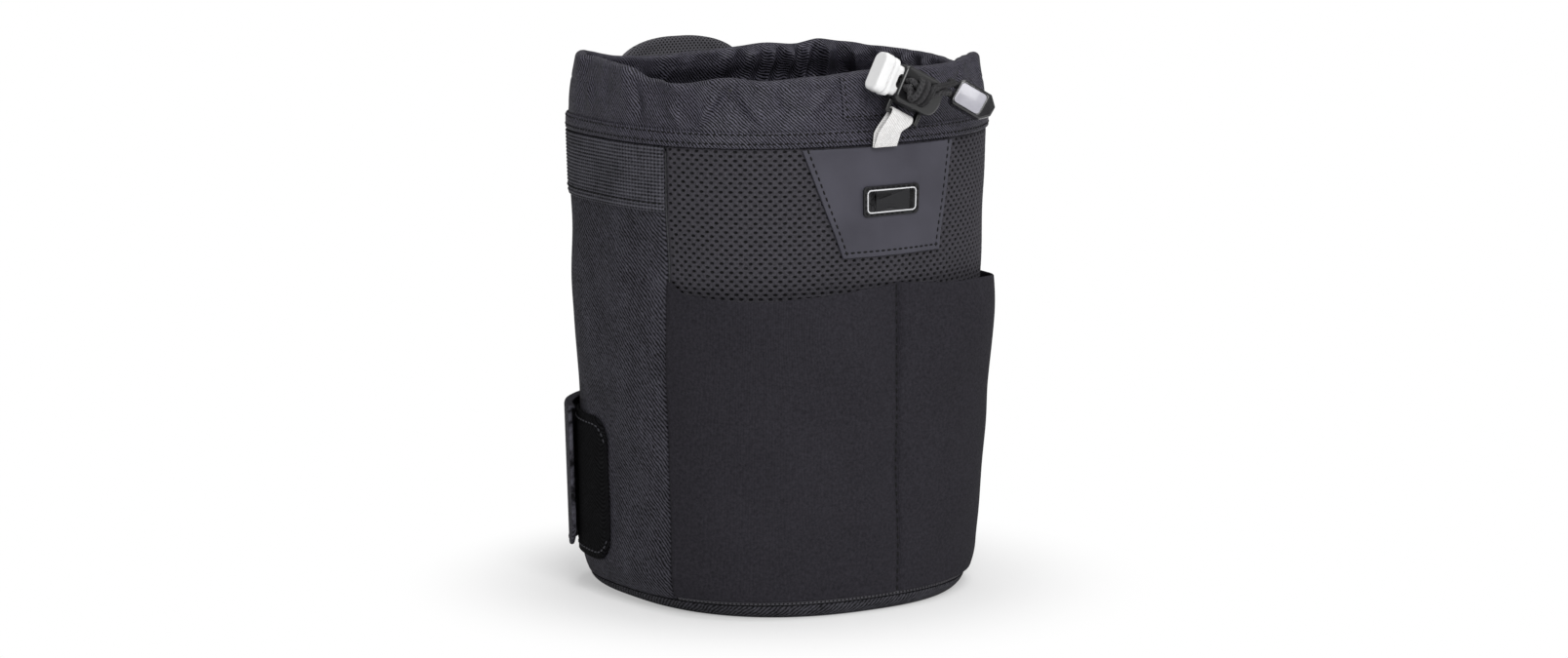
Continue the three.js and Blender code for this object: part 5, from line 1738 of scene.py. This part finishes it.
# %% Pad, flap and grips
PAD_END, PAD_FOOT, PAD_TOP, PAD_OUT = 93, 16.0, 79.4, 1.8
PAD_CORNER, PAD_STITCH = 12, 3.2
FLAP_END, FLAP_FOOT, HINGE = 111, 18.0, 81.3
FLAP_CORNER, FLAP_THICK = 9, 1.8
FLAP_GAP, FLAP_END_GAP = 8.5, 2.2
FLAP_ROUND, FLAP_ROWS = 0.8, 26
FOLD_UNDER, FOLD_OVER, FOLD_TURN, FOLD_TURNS = 0.9, 0.45, 0.45, 1.35


def corner_cut(near, corner, share):
    """How much a round corner takes off the height at a distance from the side."""
    return corner - np.sqrt(corner ** 2 - np.maximum(corner - near, 0) ** 2) * share


def corner_lift(angle, end, corner):
    """How much a round corner takes off the height at an angle."""
    along = np.radians(np.minimum(angle - end, 360 - end - angle)) * (BODY_WIDTH / 2)
    return corner_cut(along, corner, 0.98)


def corner_angles(end, corner, middle):
    """Angles from end round the back, closer together in the round corners."""
    span = math.degrees(corner / (BODY_WIDTH / 2))
    near = end + span * np.array([0, 0.01, 0.03, 0.07, 0.13, 0.21, 0.31, 0.43, 0.57, 0.72, 0.88])
    return np.concatenate([near, np.linspace(end + span, 360 - end - span, middle), (360 - near)[::-1]])


pad_angles = corner_angles(PAD_END, PAD_CORNER, 110)
pad_shares = edge_steps(0, PAD_TOP - PAD_FOOT, 0.7, 2.5) / (PAD_TOP - PAD_FOOT)
angle, share = crossed(pad_angles, pad_shares)
lift = corner_lift(angle, PAD_END, PAD_CORNER)
z = PAD_FOOT + lift + (PAD_TOP - PAD_FOOT - 2 * lift) * share
from_level = np.minimum(z - PAD_FOOT - lift, PAD_TOP - lift - z)
from_ends = np.minimum(angle - PAD_END, 360 - PAD_END - angle) * 1.5
full = rounded(np.minimum(from_level, from_ends), 0.7)
line = 0.25 * fade(from_level - PAD_STITCH, 0.5)
shared = sag(angle, z)
face = PLAY + 0.3 + (PAD_OUT - PLAY - 0.3) * full + shared - line
pad = layer("belt_pad_cloth", angle, z, face, PLAY + shared)
fit(pad, "pouch", "side_cloth", pad_cloth, "belt_pad")
cut_sheet(pad, arc_at(180) * 2 - arc_at(PAD_END) * 2, "laid", "back_panel")


def flap_inner(angle):
    """How far the flap's inner face stands from the shell. It is widest where the belt goes."""
    return PAD_OUT + FLAP_GAP + (FLAP_END_GAP - FLAP_GAP) * smooth((np.abs(angle - 180) - 20) / 49)


def flap_section(angle):
    """The flap's section at an angle: down its face, round its foot and up its back to the fold."""
    inner = float(flap_inner(angle))
    root = 0.8 + 1.6 * float(smooth((abs(angle - 180) - 20) / 14))
    low = FLAP_FOOT + float(corner_lift(angle, FLAP_END, FLAP_CORNER))
    under, top, thick = HINGE - FOLD_UNDER, HINGE + FOLD_OVER, FLAP_THICK
    span = inner + thick - root
    rows = [(root, HINGE), (root + FOLD_TURN, top)]
    rows += [(root + FOLD_TURN + (span - FOLD_TURNS) * t, top) for t in (0.2, 0.4, 0.6, 0.8)]
    rows += [(inner + 0.9, top), (inner + 1.45, top - 0.3), (inner + thick, under)]
    rows += [(inner + thick, z) for z in np.linspace(under - 1, low + FLAP_ROUND, FLAP_ROWS)]
    rows += [(inner + 1.6, low + 0.25), (inner + 0.9, low), (inner + 0.2, low + 0.25)]
    rows += [(inner, z) for z in np.linspace(low + FLAP_ROUND, under - 1, FLAP_ROWS)]
    rows += [(inner, under)]
    rows += [(root + FOLD_TURN + (inner - root - FOLD_TURN) * t, under) for t in (0.75, 0.5, 0.25, 0.0)]
    return rows


flap_angles = corner_angles(FLAP_END, FLAP_CORNER, 90)
sections = np.array([flap_section(a) for a in flap_angles])
angle = np.broadcast_to(flap_angles[:, None], sections.shape[:2])
flap_grid = skin(angle, sections[..., 1], sections[..., 0]).transpose(1, 0, 2)
flap = fit(wrapped_round("belt_flap_cloth", flap_grid), "belt_flap", "side_cloth", side_cloth, "belt_flap")
cut_sheet(flap, arc_at(180) * 2 - arc_at(FLAP_END) * 2, "hung", "back_panel")


GRIP_HALF, GRIP_FOOT, GRIP_TOP, GRIP_EDGE, GRIP_STEP = 22, 24, 46, 0.6, 1.5
LOOP_FACES, HOOK_FACES = (0.3, 0.8), (8.2, 7.7)


def grip(name, faces, body, node):
    """One half of the touch fastener, between two distances from the pad."""
    inner, outer = PAD_OUT + faces[0], PAD_OUT + faces[1]
    across = edge_steps(-GRIP_HALF, GRIP_HALF, GRIP_EDGE, GRIP_STEP)
    across, up = crossed(across, edge_steps(GRIP_FOOT, GRIP_TOP, GRIP_EDGE, GRIP_STEP))
    from_edge = np.minimum.reduce([GRIP_HALF - np.abs(across), up - GRIP_FOOT, GRIP_TOP - up])
    face = inner + (outer - inner) * (0.4 + 0.6 * rounded(from_edge, GRIP_EDGE))
    half = layer(name, angle_of(across, up, False), up, face, inner)
    return fit(half, body, "grip_cloth", grip_cloth, node)


grip("loop_patch_pile", LOOP_FACES, "pouch", "loop_patch")
grip("hook_patch_base", HOOK_FACES, "belt_flap", "hook_patch")
print("Carrier pieces: 4")

# %% Padded tab
TAB_X, TAB_WIDTH, TAB_FOOT, TAB_TOP = -8.1, 65.0, 94.0, 235.5
TAB_FOOT_CORNER, TAB_CORNER, TAB_SPREAD = 8, 14, 2.1
TAB_IN, TAB_THICK = 1.5, 5.5
TAB_EDGE, TAB_SEAM = 3.0, 4.2
tab_across = edge_steps(0, TAB_WIDTH, TAB_EDGE, 1.6)
tab_up = edge_steps(0, 1.0, TAB_EDGE / 140, 1.8 / 140)
away, share = crossed(tab_across, tab_up)

# The top corners are wider than they are high.
from_side = np.minimum(away, TAB_WIDTH - away)
low = TAB_FOOT + corner_cut(from_side, TAB_FOOT_CORNER, 0.99)
high = TAB_TOP - corner_cut(from_side / TAB_SPREAD, TAB_CORNER, 0.99)
x, z = TAB_X - TAB_WIDTH / 2 + away, low + (high - low) * share
corner_x = np.maximum(TAB_CORNER - from_side / TAB_SPREAD, 0)
corner_z = np.maximum(z - (TAB_TOP - TAB_CORNER), 0)
round_gap = TAB_CORNER - np.hypot(corner_x, corner_z)
in_corner = (corner_x > 0) & (corner_z > 0)
from_edge = np.where(in_corner, np.maximum(round_gap, 0), np.minimum(from_side, TAB_TOP - z))
from_edge = np.minimum(from_edge, z - TAB_FOOT)
full = rounded(from_edge, TAB_EDGE)
channel = fade(from_edge - TAB_SEAM, 0.7)
crown = 0.5 * smooth((from_edge - 5) / 14)
face = TAB_IN + 1.6 + (TAB_THICK - 2.1) * full - 0.9 * channel + crown
back = TAB_IN + 0.8 * (1 - full) + 0.6 * channel
angle = angle_of(x, z, False)
shared = sag(angle, z)
tab = layer("back_tab_padded", angle, z, face + shared, back + shared)
fit(tab, "pouch", "tab_mesh", tab_mesh, "back_tab")
print("Tab faces:", len(tab.data.polygons))

# %% [markdown]
# ## The cord lock
#
# The lock is two mouldings: a flat black body, rounded at one end, and a white button whose plunger
# slides into it. Both have a hole for the cords, and a spring holds the holes apart so that the cords
# are pinched. Mouldings are made as plates: an outline, and a few copies of it drawn in toward each
# face, which gives the soft edges that catch light. The holes are then carved with booleans.


# %% Plates and carving
def at_clip(points):
    return at_lock(on_clip(points))


def bevelled(depth, radius, steps=5):
    """Rings for a plate's two faces: (inset, distance through) pairs with rounded edges."""
    turns = np.linspace(0, np.pi / 2, steps)
    rings = [(radius * (1 - math.sin(t)), -depth / 2 + radius * (1 - math.cos(t))) for t in turns]
    return rings + [(inset_by, -through) for inset_by, through in rings[::-1]]


def moulding(name, outline, rings, axes=(0, 1), place=at_lock):
    """A plate whose outline lies in two of a moulding's axes and whose rings go along the third."""
    outline = np.asarray(outline, float)
    grid = np.zeros((len(outline), len(rings), 3))
    for k, (by, through) in enumerate(rings):
        grid[:, k, list(axes)] = inset(outline, by)
        grid[:, k, 3 - sum(axes)] = through
    return wrapped_round(name, place(grid))


def carve(piece, *tools, operation="DIFFERENCE"):
    """Cuts tools out of a piece, or joins them to it, and removes the tools."""
    for tool in tools:
        cut = piece.modifiers.new("cut", "BOOLEAN")
        cut.operation, cut.object, cut.solver = operation, tool, "EXACT"
    graph = bpy.context.evaluated_depsgraph_get()
    mesh = bpy.data.meshes.new_from_object(piece.evaluated_get(graph))
    piece.modifiers.clear()
    piece.data = mesh
    for tool in tools:
        bpy.data.objects.remove(tool)
    smooth_shaded(mesh)
    mesh.set_sharp_from_angle(angle=math.radians(35))
    return piece


def bezier(p0, p1, p2, p3, steps=8):
    t = np.linspace(0, 1, steps + 1)[1:, None]
    p0, p1, p2, p3 = (np.array(p, float) for p in (p0, p1, p2, p3))
    return (1 - t) ** 3 * p0 + 3 * (1 - t) ** 2 * t * p1 + 3 * (1 - t) * t ** 2 * p2 + t ** 3 * p3


# %% Lock body, button and spring
MOUTH, LOCK_END, LOCK_HIGH = -10.8, 12.0, 16.0
HOLE_AT, TRAVEL = -6.6, 2.6
half = LOCK_HIGH / 2
left_corner = round_box(6, LOCK_HIGH, 2.6)
left_side = [(x + MOUTH + 3, y) for x, y in left_corner if x < 0]
outline = np.concatenate([
    bezier((6, -half), (10.5, -half), (LOCK_END, -half / 2), (LOCK_END, 0), 9),
    bezier((LOCK_END, 0), (LOCK_END, half / 2), (10.5, half), (6, half), 9),
    [(1, half), (-4, half)], left_side, [(-4, -half), (1, -half), (6, -half)],
])
lock_back = [(1.4, -5.2), (0.9, -5.1), (0.4, -4.7), (0.1, -4.2), (0, -3.6), (0, -0.4), (0.25, -0.25)]
lock_rings = lock_back + [(by, -through) for by, through in lock_back[::-1]]
lock = moulding("lock_shell", outline, lock_rings)


HOLE_BOX, HOLE_REACH = (5.9, 6.3, 1.65), 8.0
BORE_BOX, BORE_REACH = (13.6, 8.0, 2.7), (-14.0, 6.5)


def hole_tool(name, centre):
    """A tool that cuts the cords' hole right through."""
    outline = round_box(*HOLE_BOX) + np.array([centre, 0])
    return moulding(name, outline, [(0, -HOLE_REACH), (0, HOLE_REACH)])


bore = moulding("bore", round_box(*BORE_BOX), [(0, along) for along in BORE_REACH], (1, 2))
lock = carve(lock, bore, hole_tool("lock_hole", HOLE_AT))
BAR_ENDS, BAR_UP, BAR_RADIUS = (-9.5, 6.5), -12.3, 1.0
LUG_WIDE, LUG_HIGH = 1.8, 5.5
lugs = []
for x in BAR_ENDS:
    lug_outline = round_box(LUG_WIDE, LUG_HIGH, 0.6) + np.array([x, BAR_UP - BAR_RADIUS + LUG_HIGH / 2])
    lugs.append(moulding("lug", lug_outline, bevelled(2.9, 0.4)))
bar_way = np.linspace(*BAR_ENDS, 20)
bar_path = at_lock(np.stack([bar_way, np.full(20, BAR_UP), np.zeros(20)], -1))
lugs.append(tube("bar", bar_path, BAR_RADIUS, sides=20))
lock = carve(lock, *lugs, operation="UNION")
fit(lock, "cord_lock", "black_plastic", lock_plastic, "cord_lock_body")

CAP_LEFT, CAP_RIGHT = -21.5, -13.8
cap_rings = [
    (by, CAP_LEFT + along)
    for by, along in ((1.6, 0.02), (1.1, 0), (0.6, 0.14), (0.25, 0.42), (0.06, 0.85), (0, 1.4))
] + [
    (0, -17.6), (0.08, -17.2), (0.3, -16.95), (1.0, -16.9), (1.25, -16.8), (1.25, -16.25),
    (1.0, -16.15), (0.45, -16.1), (0.25, -15.9), (0.2, -15.5), (0.2, -14.4), (0.35, -14.0), (0.7, CAP_RIGHT),
]
cap = moulding("lock_button_cap", round_box(17.0, 9.6, 3.4, 12), cap_rings, (1, 2))
plunger_rings = [(0.1, -14.4), (0, -14.2), (0, -1.5), (0.2, -1.1), (0.5, -1.0)]
plunger = moulding("plunger", round_box(13.0, 7.4, 2.4), plunger_rings, (1, 2))
button = carve(cap, plunger, operation="UNION")
button = carve(button, hole_tool("button_hole", HOLE_AT - TRAVEL))
fit(button, "lock_button", "white_plastic", white_plastic, "cord_lock_button")
SPRING_TURNS, SPRING_RADIUS, SPRING_WIRE, SPRING_END = 5, 2.9, 0.35, 6.2
coils = np.linspace(0, 1, 140)
coil_turn = 2 * SPRING_TURNS * np.pi * coils
coil_path = at_lock(np.stack([
    -SPRING_WIRE + SPRING_END * coils, SPRING_RADIUS * np.cos(coil_turn), SPRING_RADIUS * np.sin(coil_turn),
], -1))
spring = tube("lock_spring_wire", coil_path, SPRING_WIRE, sides=8)
fit(spring, "cord_lock", "spring_steel", steel, "cord_lock_spring")
spring_foot = at_lock([SPRING_END, 0, 0]) * MM
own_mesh(spring)
print("Spring:", SPRING_TURNS, "turns,", len(spring.data.polygons), "faces")

# %% The end clip
x, y = CLIP_LENGTH / 2, CLIP_WIDTH / 2
cut_corner = [(x - 4.0, -y), (x - 3.5, -y + 0.3), (x - 0.3, -y + 3.5), (x, -y + 4.0)]
clip_outline = np.concatenate([
    cut_corner, [(px, -py) for px, py in cut_corner[::-1]], [(0, y)],
    [(px - x + 4, py) for px, py in round_box(8, CLIP_WIDTH, 2.6) if px < 0], [(0, -y)],
])
clip = moulding("end_clip_shell", clip_outline, bevelled(CLIP_DEPTH, 1.0), place=at_clip)
tools = []
for side in (1, -1):
    way = np.linspace(-x - 2, -x + HOLE_DEPTH, 8)
    path = at_clip(np.stack([way, np.full(8, side * HOLE_PITCH / 2), np.zeros(8)], -1))
    tools.append(tube("cord_hole", path, CORD_RADIUS + PLAY, sides=16))
PLATE_X, PLATE_LENGTH, PLATE_WIDTH = -1.9, 12.2, 9.2
recess_outline = round_box(PLATE_LENGTH + 2 * PLAY, PLATE_WIDTH + 2 * PLAY, 1.9) + np.array([PLATE_X, 0])
recess_rings = [(0, CLIP_DEPTH / 2 - 0.9), (0, CLIP_DEPTH / 2 + 2)]
tools.append(moulding("recess", recess_outline, recess_rings, place=at_clip))
clip = fit(carve(clip, *tools), "cord_lock", "black_plastic", black_plastic, "end_clip_body")
face_outline = round_box(PLATE_LENGTH, PLATE_WIDTH, 1.6) + np.array([PLATE_X, 0])
face_rings = [(0.1, 3.4), (0, 3.5), (0, 3.8), (0.1, 3.93), (0.3, 4.0)]
face_plate = moulding("end_clip_plate", face_outline, face_rings, place=at_clip)
fit(face_plate, "cord_lock", "silver_plastic", silver_plastic, "end_clip_face")
print("Lock and clip faces:", len(lock.data.polygons) + len(button.data.polygons) + len(clip.data.polygons))

# %% [markdown]
# Now that the clip exists, each cord end's path is taken at every few points and the count printed.

for cord, path in ((wound_cord, wound_path[::6]), (core_cord, core_path[::4])):
    points = path * MM
    print(cord.name, "declared along", len(points), "points")

# %% [markdown]
# ### The ribbon that anchors the lock
#
# A pale ribbon is sewn in at the collar's seam, goes round the lock's bar and comes back down. We sweep
# its section along that way: two legs and a turn.

# %% Ribbon
RIBBON_WIDTH, RIBBON_THICK = 11.5, 0.7
bar_centre = at_lock([sum(BAR_ENDS) / 2, BAR_UP, 0])
FOOT_X = -2.5
shell_y = float(skin(angle_of(FOOT_X, PATCH_TOP), PATCH_TOP, 0)[1])
foot_y = shell_y - PATCH_OUT - PLAY - TAPE_THICK - RIBBON_THICK
feet = [np.array([FOOT_X, y, PATCH_TOP]) for y in (foot_y, foot_y - RIBBON_THICK - PLAY)]
over_turns = np.linspace(0, np.pi, 18)
over_normals = [UP * math.sin(t) - OUT * math.cos(t) for t in over_turns]
over = [bar_centre + n * (BAR_RADIUS + PLAY + RIBBON_THICK / 2) for n in over_normals]


def leg(foot, top, sign):
    """Places, directions across and normals up one leg, which turns to the bar's slant near its top."""
    for share in np.linspace(0, 1, 26)[:-1]:
        belly = 0.5 * math.sin(np.pi * share) ** 2
        turned = smooth(max(0.0, share * 1.7 - 0.7))
        across = np.array([1.0, 0, 0]) * (1 - turned) + ACROSS * turned
        normal = OUT * sign
        place = foot + (top - foot) * [turned, share, share]
        yield place + normal * belly, across / np.linalg.norm(across), normal


route = list(leg(feet[0], over[0], -1)) + [(c, ACROSS, n) for c, n in zip(over, over_normals)]
route += list(leg(feet[1], over[-1], 1))[::-1]
RIBBON_EDGE = 0.35
centre, across, normal = (np.array(part) for part in zip(*route))
widths = edge_steps(-RIBBON_WIDTH / 2, RIBBON_WIDTH / 2, RIBBON_EDGE, 0.9)
full = rounded(RIBBON_WIDTH / 2 - np.abs(widths), RIBBON_EDGE)
spread = centre[None] + widths[:, None, None] * across[None]
half_thick = RIBBON_THICK / 2 * (0.3 + 0.7 * full)[:, None, None] * normal[None]
ribbon = sheet_between("anchor_ribbon_woven", spread + half_thick, spread - half_thick)
fit(ribbon, "pouch", "ribbon", ribbon_cloth, "anchor_ribbon")
cut_sheet(ribbon, RIBBON_WIDTH, "folded", "collar_tape")
print("Ribbon route, in mm:", round(length_of(centre), 1))

# %% [markdown]
# ## Stitches
#
# Tape, exit patch, band, pocket divider, patch, badge, pad and flap get their thread. The lines are
# offset from the edges they hold, as a machine foot would set them, and the pitch is read off the
# photograph where it shows.

# %% Sew the seams
def seam_line(angle, z, out):
    """A line on the body for stitches: its points and the directions that face away."""
    return skin(angle, z, out), outward(angle, z)


def on_collar(angle, z, above):
    return seam_line(angle, z, collar_out(angle, z) + PLAY + above)


all_round = np.arange(-180, 180.5, 0.75)
tape_lines = [on_collar(all_round, z, 0.72) for z in TAPE_STITCHES]
sew("stitches_tape", "pouch", black_thread, "short", tape_lines)
exit_low = np.linspace(-12.6, 4.9, 40)
exit_high = np.linspace(214, 229.2, 30)
sew("stitches_exit", "pouch", black_thread, "short", [
    on_collar(exit_low, np.full(40, 213.9), 0.7),
    *(on_collar(np.full(30, side), exit_high, 0.7) for side in (-12.5, 4.8)),
])
back_arc = np.arange(SIDE_SEAM + 1.5, 360 - SIDE_SEAM - 1, 0.75)
band_line = seam_line(back_arc, BAND_STITCH, BAND_OUT - 0.15 + sag(back_arc, BAND_STITCH))
sew("stitches_band", "pouch", black_thread, "plain", [band_line])
share = np.linspace(0.01, 0.985, 120)
angle = divider_at(share)
z = POCKET_FOOT + POCKET_HEIGHT * share * read_table(POCKET_TOP, angle)
divider_line = seam_line(angle, z, pocket_out(angle, share) + (POCKET_CLOTH - 0.5))
sew("stitches_divider", "pouch", black_thread, "long", [divider_line])


def patch_line(across, up):
    x, z = patch_x(across, up), PATCH_FOOT + PATCH_HEIGHT * up
    return on_front(x, z, PATCH_OUT - 0.08), outward(angle_of(x, z), z)


def margin(up):
    return PATCH_STITCH / (patch_x(1, up) - patch_x(0, up))


stitch_share = PATCH_STITCH / PATCH_HEIGHT
ups, foot = np.linspace(0.985, stitch_share, 60), np.full(60, stitch_share)
left_up, right_up = patch_line(margin(ups), ups), patch_line(1 - margin(ups), ups)
foot_line = patch_line(np.linspace(margin(foot[0]), 1 - margin(foot[0]), 60), foot)
sew("stitches_patch", "pouch", black_thread, "plain", [left_up, foot_line, right_up])
badge_stitch = round_box(*BADGE_SEAM)
badge_stitch = np.concatenate([badge_stitch, badge_stitch[:1]])
badge_line = np.concatenate([
    a + (b - a) * np.linspace(0, 1, 5)[:-1, None] for a, b in zip(badge_stitch[:-1], badge_stitch[1:])
])
spots = on_badge(badge_line[:, 0], badge_line[:, 1], BADGE_OUT - 0.05)
faces_out = outward(angle_of(BADGE_X + badge_line[:, 0], BADGE_Z), BADGE_Z)
sew("stitches_badge", "pouch", black_thread, "short", [(spots, faces_out)])

angle = pad_angles[4:-4]
margin_up = corner_lift(angle, PAD_END, PAD_CORNER) + PAD_STITCH
pad_line = [
    seam_line(angle, z, PAD_OUT - 0.1 + sag(angle, z)) for z in (PAD_FOOT + margin_up, PAD_TOP - margin_up)
]
sew("stitches_pad", "pouch", grey_thread, "plain", pad_line)
angle = flap_angles[5:-5]
flap_foot = FLAP_FOOT + corner_lift(angle, FLAP_END, FLAP_CORNER) + 3.0
flap_line = seam_line(angle, flap_foot, flap_inner(angle) + FLAP_THICK - 0.02)
sew("stitches_flap", "belt_flap", grey_thread, "plain", [flap_line])

# %% [markdown]
# ## Floor, walls of light and the studio
#
# A catalogue picture stands on white. The floor is a plain pale plane that keeps the soft shadow, and
# the world is white where the camera looks and a dim even fill elsewhere. A large soft lamp stands in
# front at the left, a second fills from the right and a third hangs overhead.

# %% Floor
floor_mesh = bpy.data.meshes.new("floor")
reach = 6.0
WHITE_FROM, WHITE_BY = 0.09, 0.17
FLOOR_GLOW = 0.4
floor_mesh.from_pydata(
    [(-reach, -reach, 0), (reach, -reach, 0), (reach, reach, 0), (-reach, reach, 0)], [], [(0, 1, 2, 3)]
)
floor = in_scene("floor", floor_mesh)
floor_finish = Finish("floor_white", Roughness=0.9)
floor_finish.shader.inputs["Base Color"].default_value = (0.9, 0.9, 0.9, 1)
spot = floor_finish.node("ShaderNodeSeparateXYZ", None, {0: floor_finish.space()})
distance = (spot * spot + spot.out(1) * spot.out(1)).math("SQRT")
away = smooth_mask(distance, WHITE_FROM, WHITE_BY)
seen = floor_finish.node("ShaderNodeLightPath")
glow = floor_finish.node("ShaderNodeEmission", None, {"Color": (1, 1, 1, 1), "Strength": 1.0})
share = (away * (1 - FLOOR_GLOW) + FLOOR_GLOW) * seen
floor_mixed = floor_finish.node("ShaderNodeMixShader", None, {0: share, 2: glow})
floor_finish.tree.links.new(floor_finish.shader.outputs[0], floor_mixed.made.inputs[1])
floor_finish.tree.links.new(floor_mixed.socket, floor_finish.tree.nodes["Material Output"].inputs[0])
floor_mesh.materials.append(floor_finish.material)
print("The floor is pure white from", WHITE_BY, "m")

# %% World
world = bpy.data.worlds.new("studio")
bpy.context.scene.world = world
world.use_nodes = True
sky = Nodes(world.node_tree)
fill = world.node_tree.nodes["Background"]
fill.inputs["Color"].default_value = (1, 1, 1, 1)
fill.inputs["Strength"].default_value = 0.27
white = sky.node("ShaderNodeBackground", None, {"Color": (1, 1, 1, 1), "Strength": 1.0})
path = sky.node("ShaderNodeLightPath")
seen = path.math("MAXIMUM", path.out("Is Transmission Ray"))
mixed = sky.node("ShaderNodeMixShader", None, {0: seen})
world.node_tree.links.new(fill.outputs[0], mixed.made.inputs[1])
world.node_tree.links.new(white.socket, mixed.made.inputs[2])
world.node_tree.links.new(mixed.socket, world.node_tree.nodes["World Output"].inputs[0])
print("Fill from the world:", fill.inputs["Strength"].default_value)


# %% Lamps
def softbox(name, place, size, power):
    light = bpy.data.lights.new(name, "AREA")
    light.shape, light.size, light.energy = "SQUARE", size, power
    lamp = in_scene(name, light)
    lamp.location = place
    lamp.rotation_euler = (Vector((0, 0, 0.12)) - Vector(place)).to_track_quat("-Z", "Y").to_euler()


softbox("key", (-0.7, -2.1, 1.5), 1.3, 42)
softbox("fill", (1.6, -1.3, 0.9), 1.4, 6)
softbox("top", (0.1, -0.1, 1.9), 1.3, 17)

scene = bpy.context.scene
scene.view_settings.view_transform = "Standard"
